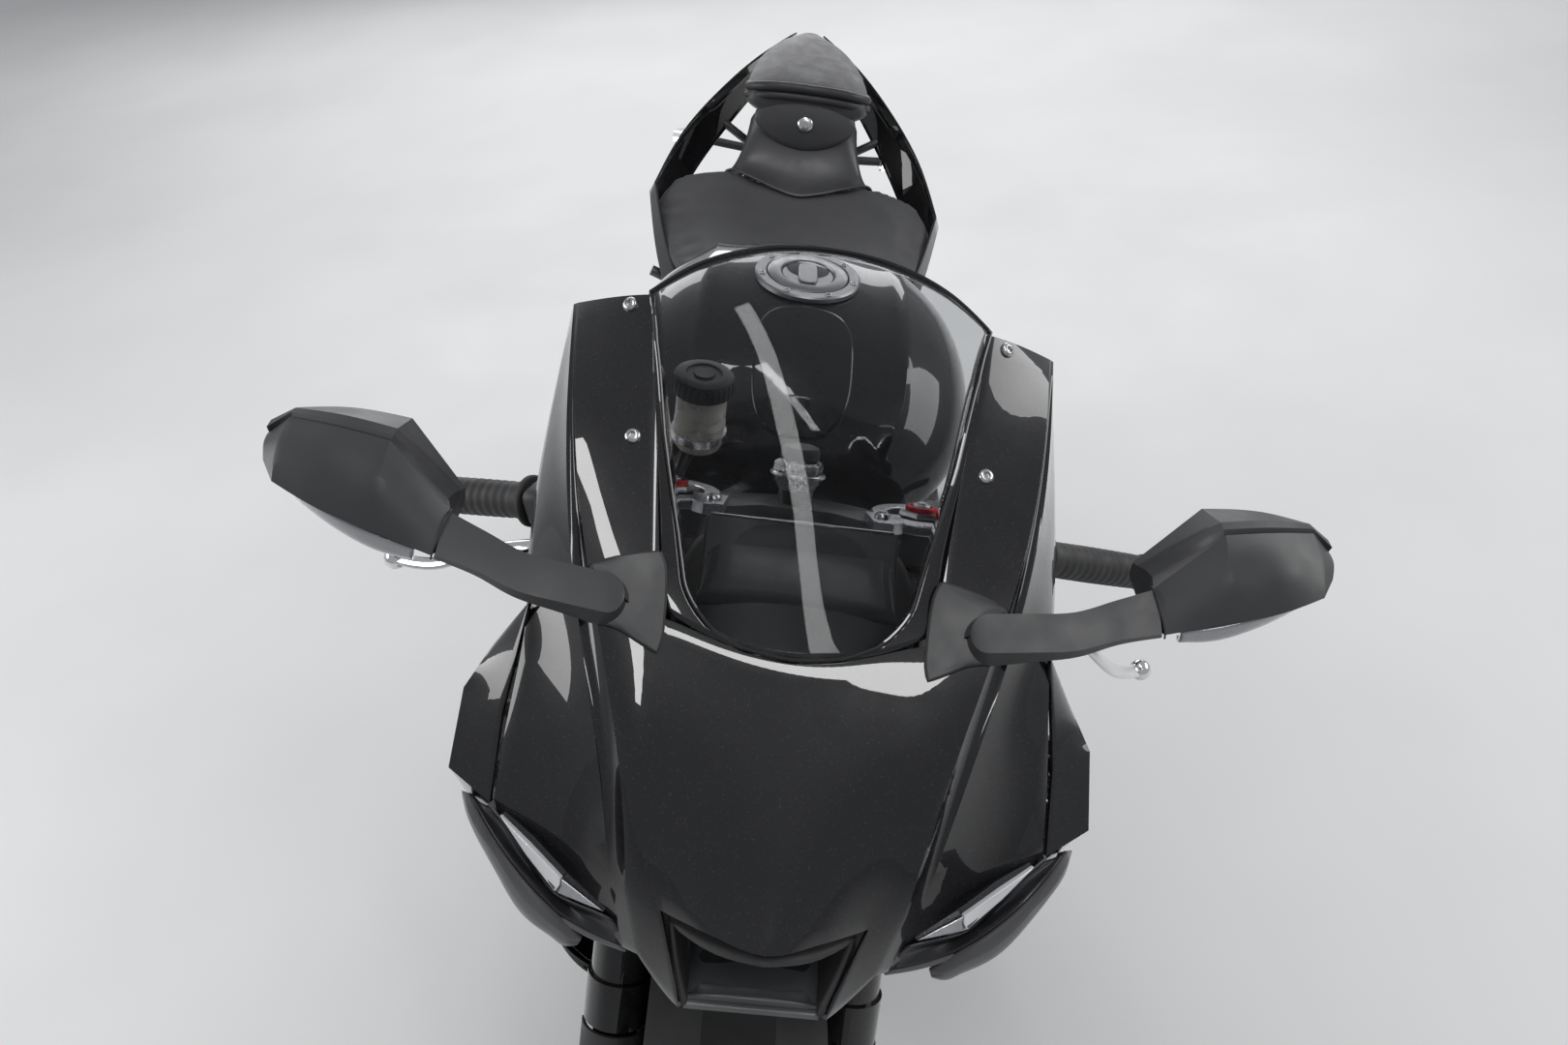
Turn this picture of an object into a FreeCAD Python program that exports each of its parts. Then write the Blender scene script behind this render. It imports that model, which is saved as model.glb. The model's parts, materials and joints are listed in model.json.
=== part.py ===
"""Sport motorcycle with a full fairing, parked on its side stand.

Everything is modelled on an upright bike: X forwards, Y to the rider's left, Z up, in millimetres,
with the ground under the middle of the wheelbase at zero. The whole bike is then leaned onto its
side stand, and moved so that the middle of its footprint is the origin.
"""

import FreeCAD, Part
import math
import os

V = FreeCAD.Vector

# Driving dimensions
WHEELBASE = 1405.0
RAKE = 24.0
TRAIL = 102.0
LEAN = 12.0
FRONT_TYRE_RADIUS = 300.0
FRONT_TYRE_WIDTH = 120.0
REAR_TYRE_RADIUS = 320.0
REAR_TYRE_WIDTH = 190.0
RIM_RADIUS = 216.0
TYRE_WALL = 9.0
PANEL = 3.0
SCREEN_WALL = 3.0
GAP = 1.0
RUNNING = 5.0
FIT = 0.05

FORK_SPACING = 105.0
FORK_OUTER_RADIUS = 27.0
FORK_INNER_RADIUS = 21.5
FORK_TOP = 948.0
FORK_SEAL = 506.0
SEAL_LENGTH = 42.0
SEAL_RADIUS = 30.0
UPPER_YOKE_TOP = 940.0
UPPER_YOKE_THICKNESS = 28.0
LOWER_YOKE_TOP = 782.0
LOWER_YOKE_THICKNESS = 34.0
STEM_RADIUS = 15.0
STEM_BORE = 9.5
STEM_NUT_TOP = 966.0
HEAD_TUBE_RADIUS = 32.0

DISC_RADIUS = 160.0
DISC_THICKNESS = 5.0
DISC_OFFSET = 70.0
REAR_DISC_RADIUS = 110.0
REAR_DISC_OFFSET = -92.0

CHAIN_PITCH = 15.875
CHAIN_LINE = 109.0
CHAIN_WIDTH = 14.0
CHAIN_HALF_HEIGHT = 8.0
FRONT_SPROCKET_TEETH = 16
REAR_SPROCKET_TEETH = 41
SPROCKET_WIDTH = 6.0

lean = math.radians(LEAN)
rake = math.radians(RAKE)
FRONT_X = WHEELBASE / 2
REAR_X = -WHEELBASE / 2


def leaned_axle_height(radius, crown):
    """Height of an axle on the upright bike that puts the leaned tyre exactly on the ground."""
    return radius - crown + crown / math.cos(lean)


FRONT_CROWN = FRONT_TYRE_WIDTH / 2
REAR_CROWN = REAR_TYRE_WIDTH / 2
FRONT_Z = leaned_axle_height(FRONT_TYRE_RADIUS, FRONT_CROWN)
REAR_Z = leaned_axle_height(REAR_TYRE_RADIUS, REAR_CROWN)


def steering_x(z):
    """X of the steering axis at a height."""
    return FRONT_X + TRAIL - z * math.tan(rake)


def fork_x(z):
    """X of the fork tubes' axis at a height."""
    return FRONT_X - (z - FRONT_Z) * math.tan(rake)


STEER_UP = V(-math.sin(rake), 0, math.cos(rake))


# Shape helpers
def polygon(points):
    return Part.makePolygon([V(*p) for p in points] + [V(*points[0])])


def prism_y(outline, y0, y1):
    """Side-view outline of (x, z) points, extruded from y0 to y1."""
    face = Part.Face(polygon([(x, y0, z) for x, z in outline]))
    return face.extrude(V(0, y1 - y0, 0))


def prism_z(outline, z0, z1):
    """Plan outline of (x, y) points, extruded from z0 to z1."""
    face = Part.Face(polygon([(x, y, z0) for x, y in outline]))
    return face.extrude(V(0, 0, z1 - z0))


def prism_x(outline, x0, x1):
    """Front-view outline of (y, z) points, extruded from x0 to x1."""
    face = Part.Face(polygon([(x0, y, z) for y, z in outline]))
    return face.extrude(V(x1 - x0, 0, 0))


def block(x0, x1, y0, y1, z0, z1):
    return Part.makeBox(x1 - x0, y1 - y0, z1 - z0, V(x0, y0, z0))


def rod(p, q, radius):
    p, q = V(*p), V(*q)
    return Part.makeCylinder(radius, (q - p).Length, p, q - p)


def tube(p, q, outer, inner):
    return rod(p, q, outer).cut(rod(p, q, inner))


def cone(p, q, r0, r1):
    p, q = V(*p), V(*q)
    return Part.makeCone(r0, r1, (q - p).Length, p, q - p)


def ring(x, z, profile):
    """Profile of (radius, y) points turned about the axle line through (x, z)."""
    face = Part.Face(polygon([(x + r, y, z) for r, y in profile]))
    return face.revolve(V(x, 0, z), V(0, 1, 0), 360)


def mirrored(shape):
    return shape.mirror(V(0, 0, 0), V(0, 1, 0))


def fused(shapes):
    result = shapes[0]
    for shape in shapes[1:]:
        result = result.fuse(shape)
    return result.removeSplitter()


def both_sides(shape):
    return Part.makeCompound([shape, mirrored(shape)])


def loft(sections, ruled=True):
    return Part.makeLoft([polygon(s) for s in sections], True, ruled)


def bevelled_box_section(centre, width, height, bevel, along="x"):
    """Rectangle with bevelled corners, across Y and Z at one X, or across X and Y at one Z."""
    x, y, z = centre
    w, h = width / 2, height / 2
    corners = [
        (-w + bevel, -h), (w - bevel, -h), (w, -h + bevel), (w, h - bevel),
        (w - bevel, h), (-w + bevel, h), (-w, h - bevel), (-w, -h + bevel),
    ]
    if along == "x":
        return [(x, y + a, z + b) for a, b in corners]
    return [(x + a, y + b, z) for a, b in corners]


def solid_wire(x, points):
    """Closed profile at one X, arcs through each three points, closed by a straight line."""
    edges = []
    for i in range(0, len(points) - 1, 2):
        a, b, c = (V(x, *points[i + k]) for k in range(3))
        bent = (b - a).cross(c - b).Length > 1e-3 * (c - a).Length
        edges.append(Part.Arc(a, b, c).toShape() if bent else Part.makeLine(a, c))
    edges.append(Part.makeLine(V(x, *points[-1]), V(x, *points[0])))
    return Part.Wire(edges)


def body_loft(stations, ruled=False):
    return Part.makeLoft([solid_wire(x, points) for x, points in stations], True, ruled)


def whole_width(half):
    """Profile from the right edge over the middle to the left edge, from its left half."""
    return [(-y, z) for y, z in half[:0:-1]] + list(half)


# Wheels and tyres
def tyre(x, z, radius, width, rim_width):
    """Hollow tyre with a round crown and beads on the rim."""
    crown, bead = width / 2, rim_width / 2
    shoulder = radius - crown

    def section(w):
        r0, half = RIM_RADIUS + 1, bead - 2
        a = [V(x + r0, -half + w, z), V(x + shoulder - 6, -crown + w, z), V(x + shoulder, -crown + w, z)]
        top = [V(x + shoulder, -crown + w, z), V(x + radius - w, 0, z), V(x + shoulder, crown - w, z)]
        edges = [Part.makeLine(a[0], a[2]), Part.Arc(*top).toShape(), Part.makeLine(top[2], V(x + r0, half - w, z))]
        edges.append(Part.makeLine(V(x + r0, half - w, z), a[0]))
        return Part.Face(Part.Wire(edges))

    profile = section(0).cut(section(TYRE_WALL))
    return profile.revolve(V(x, 0, z), V(0, 1, 0), 360)


def wheel(x, z, rim_width, hub_radius, hub_half, axle_radius, spoke_pairs, spoke_width, twist):
    """Cast wheel: dropped rim, hub and forked spokes."""
    half, flange = rim_width / 2 + 6, 9.0
    inner = RIM_RADIUS - 22
    rim = ring(x, z, [
        (RIM_RADIUS + 0.5, -half + 6), (RIM_RADIUS + flange, -half + 4), (RIM_RADIUS + flange, -half),
        (inner + 8, -half), (inner - 4, -half * 0.45), (inner - 4, half * 0.45), (inner + 8, half),
        (RIM_RADIUS + flange, half), (RIM_RADIUS + flange, half - 4), (RIM_RADIUS + 0.5, half - 6),
        (RIM_RADIUS - 4, half * 0.55), (inner + 6, half * 0.4), (inner + 6, -half * 0.4), (RIM_RADIUS - 4, -half * 0.55),
    ])
    hub = ring(x, z, [
        (axle_radius, -hub_half), (hub_radius * 0.72, -hub_half), (hub_radius, -hub_half * 0.6),
        (hub_radius, hub_half * 0.6), (hub_radius * 0.72, hub_half), (axle_radius, hub_half),
    ])
    parts = [rim, hub]
    root, tip = hub_radius - 6, inner
    for k in range(spoke_pairs):
        for side in (-1, 1):
            middle = 2 * math.pi * k / spoke_pairs + math.radians(twist)
            a0 = middle + side * math.radians(9)
            a1 = middle + side * math.radians(17)
            sections = []
            for angle, r, w, t in ((a0, root, spoke_width, hub_half * 0.95), (a1, tip, spoke_width * 0.8, half * 0.7)):
                c, s = math.cos(angle), math.sin(angle)
                corners = [(-w / 2, -t / 2), (w / 2, -t / 2), (w / 2, t / 2), (-w / 2, t / 2)]
                sections.append([(x + r * c - a * s, b, z + r * s + a * c) for a, b in corners])
            parts.append(loft(sections))
    return fused(parts)


def disc(x, z, y, radius, thickness, bore):
    """Brake disc ring with its carrier."""
    half = thickness / 2
    rotor = ring(x, z, [(radius - 34, y - half), (radius, y - half), (radius, y + half), (radius - 34, y + half)])
    carrier = ring(x, z, [(bore, y - half), (radius - 33, y - half), (radius - 33, y + half), (bore, y + half)])
    window = (radius - 34 - bore) * 0.26
    for k in range(6):
        angle = math.pi / 3 * k
        r = (bore + radius - 34) / 2
        cx, cz = x + r * math.cos(angle), z + r * math.sin(angle)
        carrier = carrier.cut(rod((cx, y - 10, cz), (cx, y + 10, cz), window))
    return rotor.fuse(carrier).removeSplitter()


def pitch_radius(teeth):
    return CHAIN_PITCH / (2 * math.sin(math.pi / teeth))


def sprocket(x, z, y, teeth, bore):
    """Sprocket whose teeth end just inside the chain's rollers."""
    root = pitch_radius(teeth) - CHAIN_HALF_HEIGHT - 4
    tip = pitch_radius(teeth) - CHAIN_HALF_HEIGHT - 1
    outline = []
    for k in range(teeth):
        for share, r in ((-0.3, root), (-0.12, tip), (0.12, tip), (0.3, root)):
            angle = 2 * math.pi * (k + share) / teeth
            outline.append((x + r * math.cos(angle), z + r * math.sin(angle)))
    blank = prism_y(outline, y - SPROCKET_WIDTH / 2, y + SPROCKET_WIDTH / 2)
    return blank.cut(rod((x, y - 20, z), (x, y + 20, z), bore))


FRONT_AXLE_RADIUS = 12.5
REAR_AXLE_RADIUS = 14.0
FRONT_HUB_HALF = 62.0
REAR_HUB_HALF = 80.0
SPROCKET_CENTRE = (-52.0, 392.0)
SPROCKET_FLOOR = 96.0
SPROCKET_POCKET = 62.0


def front_wheel_parts():
    bore = FRONT_AXLE_RADIUS + FIT
    rim = wheel(FRONT_X, FRONT_Z, 89, 34, FRONT_HUB_HALF, bore, 5, 15, 90)
    discs = both_sides(disc(FRONT_X, FRONT_Z, DISC_OFFSET, DISC_RADIUS, DISC_THICKNESS, 36))
    carriers = both_sides(ring(FRONT_X, FRONT_Z, [
        (36, FRONT_HUB_HALF + GAP / 2), (54, FRONT_HUB_HALF + GAP / 2), (54, DISC_OFFSET - DISC_THICKNESS / 2), (36, DISC_OFFSET - DISC_THICKNESS / 2),
    ]))
    hub_face = both_sides(ring(FRONT_X, FRONT_Z, [
        (22, 44), (54, 52), (54, FRONT_HUB_HALF + GAP / 2), (22, FRONT_HUB_HALF + GAP / 2),
    ]))
    rim = rim.fuse(hub_face).removeSplitter()
    return {
        "front_wheel_rim": rim,
        "front_tyre": largest(tyre(FRONT_X, FRONT_Z, FRONT_TYRE_RADIUS, FRONT_TYRE_WIDTH, 89).cut(rim)),
        "front_discs": Part.makeCompound([
            discs.Solids[i].fuse(carriers.Solids[i]).removeSplitter() for i in range(2)
        ]),
    }


def rear_wheel_parts():
    bore = REAR_AXLE_RADIUS + FIT
    rim = wheel(REAR_X, REAR_Z, 152, 52, REAR_HUB_HALF, bore, 5, 18, 270)
    hub_face = ring(REAR_X, REAR_Z, [(40, 60), (62, 66), (62, CHAIN_LINE - SPROCKET_WIDTH / 2), (40, CHAIN_LINE - SPROCKET_WIDTH / 2)])
    disc_face = ring(REAR_X, REAR_Z, [(40, -60), (54, -66), (54, REAR_DISC_OFFSET + DISC_THICKNESS / 2), (40, REAR_DISC_OFFSET + DISC_THICKNESS / 2)])
    return {
        "rear_wheel_rim": fused([rim, hub_face, disc_face]),
        "rear_tyre": largest(tyre(REAR_X, REAR_Z, REAR_TYRE_RADIUS, REAR_TYRE_WIDTH, 152).cut(rim)),
        "rear_disc": disc(REAR_X, REAR_Z, REAR_DISC_OFFSET, REAR_DISC_RADIUS, DISC_THICKNESS, 38),
        "rear_sprocket": sprocket(REAR_X, REAR_Z, CHAIN_LINE, REAR_SPROCKET_TEETH, 38),
    }


def chain():
    """Closed loop round both sprockets, with waisted links along its edges."""
    (x0, z0), (x1, z1) = SPROCKET_CENTRE, (REAR_X, REAR_Z)
    r0, r1 = pitch_radius(FRONT_SPROCKET_TEETH), pitch_radius(REAR_SPROCKET_TEETH)
    distance = math.hypot(x1 - x0, z1 - z0)
    heading = math.atan2(z1 - z0, x1 - x0)
    tilt = math.asin((r1 - r0) / distance)
    straight = distance * math.cos(tilt)
    wraps = (r0 * (math.pi - 2 * tilt), r1 * (math.pi + 2 * tilt))
    total = 2 * straight + sum(wraps)

    def place(s, out):
        """Point at a distance along the pitch line, moved outwards."""
        s = s % total
        if s < straight:
            normal = heading - math.pi / 2 - tilt
            along = heading - tilt
            base = (x0 + r0 * math.cos(normal), z0 + r0 * math.sin(normal))
            base = (base[0] + s * math.cos(along), base[1] + s * math.sin(along))
            return base[0] + out * math.cos(normal), base[1] + out * math.sin(normal)
        s -= straight
        if s < wraps[1]:
            angle = heading - math.pi / 2 - tilt + s / r1
            return x1 + (r1 + out) * math.cos(angle), z1 + (r1 + out) * math.sin(angle)
        s -= wraps[1]
        if s < straight:
            normal = heading + math.pi / 2 + tilt
            along = heading + math.pi + tilt
            base = (x1 + r1 * math.cos(normal), z1 + r1 * math.sin(normal))
            base = (base[0] + s * math.cos(along), base[1] + s * math.sin(along))
            return base[0] + out * math.cos(normal), base[1] + out * math.sin(normal)
        s -= straight
        angle = heading + math.pi / 2 + tilt + s / r0
        return x0 + (r0 + out) * math.cos(angle), z0 + (r0 + out) * math.sin(angle)

    links = 2 * round(total / CHAIN_PITCH / 2)
    step = total / links
    waist, full = CHAIN_HALF_HEIGHT * 0.68, CHAIN_HALF_HEIGHT
    loops = []
    for sign in (1, -1):
        points = []
        for k in range(links):
            points.append(place((k + 0.25) * step, sign * full))
            points.append(place((k + 0.75) * step, sign * full))
            points.append(place((k + 1.0) * step, sign * waist))
        loops.append(points)
    y0, y1 = CHAIN_LINE - CHAIN_WIDTH / 2, CHAIN_LINE + CHAIN_WIDTH / 2
    return prism_y(loops[0], y0, y1).cut(prism_y(loops[1], y0 - 1, y1 + 1))


# Folded panels
def facing_out(corners, where, inside):
    """Triangles of the faces, all turned the same way, and away from the point inside."""
    waiting = []
    for face in corners:
        for k in range(1, len(face) - 1):
            waiting.append((face[0], face[k], face[k + 1]))
    done = [waiting.pop(0)]
    sides = {pair for a, b, c in done for pair in ((a, b), (b, c), (c, a))}
    while waiting:
        for i, (a, b, c) in enumerate(waiting):
            same = {(a, b), (b, c), (c, a)}
            turned = {(b, a), (c, b), (a, c)}
            if sides & same or sides & turned:
                break
        else:
            raise ValueError("a face touches no other")
        if sides & same:
            b, c = c, b
        waiting.pop(i)
        done.append((a, b, c))
        sides |= {(a, b), (b, c), (c, a)}
    outward = 0
    for a, b, c in done:
        normal = (where[b] - where[a]).cross(where[c] - where[a])
        middle = (where[a] + where[b] + where[c]) * (1 / 3)
        target = V(inside.x, math.copysign(inside.y, middle.y), inside.z)
        outward += normal.dot(middle - target)
    return done if outward > 0 else [(a, c, b) for a, b, c in done]


def panel(points, faces, wall, inside, whole=False):
    """Thin sheet over named points. Each face lists its corners, and the wall grows towards inside."""
    names = list(points)
    where = {n: V(*points[n]) for n in names}
    corners = [f.split() for f in faces]
    if whole:
        twin = {n: (n if abs(points[n][1]) < 0.01 else n + "_r") for n in names}
        for n in names:
            where[twin[n]] = V(points[n][0], -points[n][1], points[n][2])
        corners += [[twin[n] for n in f] for f in corners]
    triangles = facing_out(corners, where, V(*inside))
    normals = {n: V(0, 0, 0) for n in where}
    edges = {}
    for a, b, c in triangles:
        normal = (where[b] - where[a]).cross(where[c] - where[a])
        normal.normalize()
        for p, q, r in ((a, b, c), (b, c, a), (c, a, b)):
            u, w = where[q] - where[p], where[r] - where[p]
            normals[p] += normal * u.getAngle(w)
            edges[(p, q)] = edges.get((p, q), 0) + 1
    inner = {}
    for n, normal in normals.items():
        if normal.Length > 0:
            inner[n] = where[n] - normal.normalize() * wall
    skins = []
    for a, b, c in triangles:
        skins.append((where[a], where[b], where[c]))
        skins.append((inner[a], inner[c], inner[b]))
    for a, b in edges:
        if (b, a) not in edges:
            skins.append((where[b], where[a], inner[a]))
            skins.append((where[b], inner[a], inner[b]))
    shell = Part.makeShell([Part.Face(Part.makePolygon([p, q, r, p])) for p, q, r in skins])
    solid = Part.makeSolid(shell)
    if solid.Volume < 0:
        solid.reverse()
    return solid


def grid_panel(rows, wall, inside, whole=False, open_cells=()):
    """Panel over a table of rows of points with the same number of columns, open where a cell is listed."""
    points = {f"{i}.{j}": p for i, row in enumerate(rows) for j, p in enumerate(row)}
    faces = [
        f"{i}.{j} {i}.{j + 1} {i + 1}.{j + 1} {i + 1}.{j}"
        for i in range(len(rows) - 1)
        for j in range(len(rows[0]) - 1)
        if (i, j) not in open_cells
    ]
    return panel(points, faces, wall, inside, whole)


NOSE = {
    "t0": (603, 0, 956), "t1": (598, 52, 960), "t2": (583, 98, 972), "t3": (588, 152, 966), "t4": (564, 193, 953),
    "m0": (684, 0, 888), "m1": (680, 45, 892), "m2": (672, 88, 902), "m3": (676, 120, 905), "m4": (613, 203, 889),
    "n0": (757, 0, 825), "n1": (738, 40, 817), "n2": (717, 75, 810), "n3": (705, 108, 815), "n4": (656, 204, 839),
    "d2": (745, 54, 736), "d3": (716, 94, 758), "d4": (668, 196, 800),
    "i1": (490, 112, 1040), "o1": (488, 180, 1032), "i2": (366, 134, 1111), "o2": (334, 201, 1077),
    "w1": (500, 210, 950),
}
NOSE_FACES = [
    "t0 t1 m1 m0", "t1 t2 m2 m1", "t2 t3 m3 m2", "t3 t4 m4 m3",
    "m0 m1 n1 n0", "m1 m2 n2 n1", "m2 m3 n3 n2", "m3 m4 n4 n3",
    "n2 n3 d3 d2", "n3 n4 d4 d3", "t2 i1 o1 t3", "i1 i2 o2 o1", "t3 o1 t4", "t4 o1 w1", "o1 o2 w1",
]
SCREEN_ROWS = [
    [(606, 0, 960), (603, 30, 962), (596, 64, 966), (582, 98, 976)],
    [(545, 0, 1012), (543, 38, 1011), (539, 72, 1008), (532, 108, 1004)],
    [(480, 0, 1062), (479, 40, 1060), (476, 78, 1055), (470, 120, 1048)],
    [(400, 0, 1112), (400, 44, 1110), (400, 84, 1102), (400, 130, 1090)],
    [(322, 0, 1147), (328, 52, 1144), (341, 98, 1132), (362, 138, 1110)],
]
SIDE_ROWS = [
    [(564, 196, 951), (562, 222, 905), (548, 240, 838), (480, 241, 796), (250, 218, 766)],
    [(614, 206, 887), (592, 239, 885), (560, 246, 795), (440, 248, 752), (235, 226, 728)],
    [(658, 207, 837), (634, 242, 843), (540, 248, 765), (390, 250, 715), (200, 232, 670)],
    [(630, 226, 780), (600, 236, 775), (520, 246, 715), (370, 248, 655), (160, 232, 600)],
    [(560, 222, 672), (530, 232, 672), (470, 240, 625), (340, 240, 570), (110, 226, 510)],
    [(478, 214, 540), (455, 222, 540), (400, 226, 510), (290, 226, 470), (60, 214, 420)],
    [(430, 200, 400), (410, 206, 400), (360, 208, 385), (250, 205, 360), (20, 196, 330)],
]
VENT_CELLS = ((2, 2),)
BELLY_ROWS = [
    [(429, 199, 397), (409, 205, 397), (359, 207, 382), (249, 204, 357), (19, 195, 327)],
    [(402, 176, 280), (385, 182, 280), (330, 184, 270), (200, 180, 255), (0, 174, 250)],
    [(380, 120, 190), (365, 124, 186), (300, 126, 178), (150, 126, 168), (-20, 124, 176)],
    [(376, 0, 176), (362, 0, 172), (298, 0, 164), (148, 0, 156), (-22, 0, 160)],
]


def near(name, dx, dy, dz):
    """Point beside a named corner of the nose."""
    x, y, z = NOSE[name]
    return (x + dx, y + dy, z + dz)


LIP = {
    "a": near("n4", -8, 24, -8), "b": near("n4", 44, -4, -12), "c": near("d3", -2, 72, 42), "d": near("d3", -4, 38, 0),
    "e": near("n4", -20, 2, -42), "f": near("d4", 24, -22, -12), "g": near("d3", -30, 34, -6), "h": near("d3", -34, 4, -12),
}
LIP_FACES = ["a b f e", "b c g f", "c d h g"]
LAMP = [near("n4", 2, -2, -9), near("d3", -22, 58, 34), near("d3", -8, 21, 29)]
LAMP_DEPTH = V(-16, -8, -12)


def fairing():
    nose = panel(NOSE, NOSE_FACES, PANEL, (450, 40, 800), whole=True)
    screen = grid_panel(SCREEN_ROWS, SCREEN_WALL, (400, 0, 700), whole=True).cut(nose)
    side = grid_panel(SIDE_ROWS, PANEL, (250, 0, 600), open_cells=VENT_CELLS)
    belly = grid_panel(BELLY_ROWS, PANEL, (150, 0, 500), whole=True)
    lip = panel(LIP, LIP_FACES, PANEL, (600, 60, 900))
    return nose, largest(screen), side, belly, lip


def largest(shape):
    return max(shape.Solids, key=lambda s: s.Volume)


DUCT_DEPTH = 132.0
DUCT_THROAT = 77.0


def nose_duct():
    """Hollow air duct behind the nose opening. Its mouth follows the opening's slant, and its floor its tips."""
    roof, tip, middle = NOSE["n2"], NOSE["d2"], NOSE["n0"]
    slant = (tip[0] - roof[0] - 3) / (roof[2] - tip[2] - 12)

    def section(back, inset, drop, lean_back):
        half = [
            (0, middle[2] - 10), (roof[1] - 7 - inset, roof[2] - 10), (tip[1] - 4 - inset, tip[2] + 4), (0, tip[2] + 6),
        ]
        rows = []
        for k, (y, z) in enumerate(half):
            height = z + drop + (inset if k > 1 else -inset)
            rows.append((roof[0] - back + (roof[2] - 10 + drop - height) * lean_back, y, height))
        return rows + [(x, -y, z) for x, y, z in rows[2:0:-1]]

    outer = loft([section(1, 0, 0, slant), section(DUCT_THROAT, 0, 12, 0), section(DUCT_DEPTH, 6, 28, 0)])
    inner = loft([section(0, PANEL, 0, slant), section(DUCT_THROAT, PANEL, 12, 0), section(DUCT_DEPTH + 1, 6 + PANEL, 28, 0)])
    return outer.cut(inner)


def mirror_housing():
    sections = []
    for y, rows in (
        (250, [(602, 1012), (588, 1030), (550, 1036), (524, 1026), (526, 1006), (575, 1002)]),
        (290, [(602, 1022), (580, 1052), (552, 1070), (518, 1066), (520, 1004), (570, 1006)]),
        (355, [(590, 1040), (572, 1060), (545, 1074), (512, 1069), (514, 1016), (560, 1022)]),
        (385, [(552, 1041), (545, 1048), (538, 1055), (522, 1053), (524, 1034), (540, 1034)]),
    ):
        sections.append([(x, y, z) for x, z in rows])
    return loft(sections)


def mirror_arm():
    sections = []
    for y, x, z, w, h in ((100, 578, 970, 56, 26), (135, 576, 972, 34, 22), (200, 584, 995, 28, 20), (252, 578, 1018, 30, 22)):
        sections.append([(x - w / 2, y, z - h / 2), (x + w / 2, y, z - h / 2), (x + w / 2 - 6, y, z + h / 2), (x - w / 2 + 6, y, z + h / 2)])
    return loft(sections)


def mirror_glass():
    """Glass let into the back of a mirror's housing."""
    outline = [(262, 1018), (292, 1056), (352, 1062), (374, 1050), (374, 1040), (350, 1024), (294, 1012)]
    return prism_x(outline, 508, 521)


# Frame and engine
def spar():
    front = [
        bevelled_box_section((446, 38, 838), 44, 76, 8),
        bevelled_box_section((396, 44, 827), 50, 78, 8),
        bevelled_box_section((354, 78, 806), 50, 84, 8),
        bevelled_box_section((296, 132, 798), 44, 112, 10),
        bevelled_box_section((200, 178, 755), 36, 126, 10),
        bevelled_box_section((40, 184, 672), 36, 124, 10),
        bevelled_box_section((-80, 168, 600), 36, 130, 10),
    ]
    plate = [
        bevelled_box_section((-110, 166, 640), 90, 34, 8, "z"),
        bevelled_box_section((-122, 166, 540), 96, 30, 8, "z"),
        bevelled_box_section((-136, 166, 400), 100, 26, 8, "z"),
        bevelled_box_section((-120, 166, 290), 110, 22, 6, "z"),
    ]
    return loft(front).fuse(loft(plate))


def main_frame():
    head = rod((steering_x(798), 0, 798), (steering_x(900), 0, 900), HEAD_TUBE_RADIUS + 8)
    bridge = block(-150, -100, -160, 160, 560, 610)
    lower = block(-170, -130, -160, 160, 292, 316)
    tank_rest = block(228, 262, -150, 150, 790, 872)
    bosses = [
        rod((220, -175, 690), (220, 175, 690), 14),
        rod((-84, -160, 452), (-84, 160, 452), 12),
    ]
    cowl_stays = [rod((150, s * 170, 728), (150, s * 260, 690), 7) for s in (-1, 1)]
    frame = fused([spar(), mirrored(spar()), head, bridge, lower, tank_rest] + bosses + cowl_stays)
    bore = rod((steering_x(790), 0, 790), (steering_x(910), 0, 910), STEM_RADIUS + FIT)
    return frame.cut(bore)


PIVOT = (-136.0, 388.0)
ARM_INNER = 121.0
ARM_OUTER = 149.0
SPOOL_HOLE = (-640.0, 322.0)
SPOOL_HOLE_RADIUS = 4.0


def swingarm():
    outline = [
        (-100, 432), (-100, 364), (-300, 312), (-640, 286), (-752, 292), (-764, 344),
        (-700, 366), (-570, 392), (-420, 486), (-340, 492), (-220, 446),
    ]
    window = [(-320, 440), (-410, 434), (-540, 366), (-340, 350), (-290, 376)]
    arm = prism_y(outline, ARM_INNER, ARM_OUTER).cut(prism_y(window, ARM_INNER - 10, ARM_OUTER + 10))
    x, z = SPOOL_HOLE
    arm = arm.cut(rod((x, ARM_INNER - 10, z), (x, ARM_OUTER + 10, z), SPOOL_HOLE_RADIUS))
    cross = block(-350, -250, -122, 122, 330, 402)
    tubes = rod((PIVOT[0], -149, PIVOT[1]), (PIVOT[0], 149, PIVOT[1]), 25)
    arms = fused([arm, mirrored(arm), cross, tubes])
    arms = arms.cut(rod((PIVOT[0], -200, PIVOT[1]), (PIVOT[0], 200, PIVOT[1]), 12 + FIT))
    return arms.cut(rod((REAR_X, -200, REAR_Z), (REAR_X, 200, REAR_Z), REAR_AXLE_RADIUS + FIT))


def engine():
    """Plain four-cylinder block with its side covers."""
    case = prism_y([
        (-92, 300), (-60, 250), (120, 238), (236, 270), (262, 350), (240, 430), (150, 480), (-40, 500), (-92, 450),
    ], -140, 140)
    cylinders = prism_y([(240, 420), (318, 560), (300, 640), (200, 700), (110, 660), (70, 470)], -155, 155)
    covers = [
        rod((60, -168, 372), (60, -130, 372), 84),
        rod((150, 130, 372), (150, 168, 372), 76),
    ]
    block_shape = fused([case, cylinders] + covers)
    x, z = SPROCKET_CENTRE
    pocket = rod((x, SPROCKET_FLOOR, z), (x, 200, z), SPROCKET_POCKET)
    way_out = block(x - 80, x, SPROCKET_FLOOR, 200, z - SPROCKET_POCKET, z + SPROCKET_POCKET)
    return block_shape.cut(pocket).cut(way_out)


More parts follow.
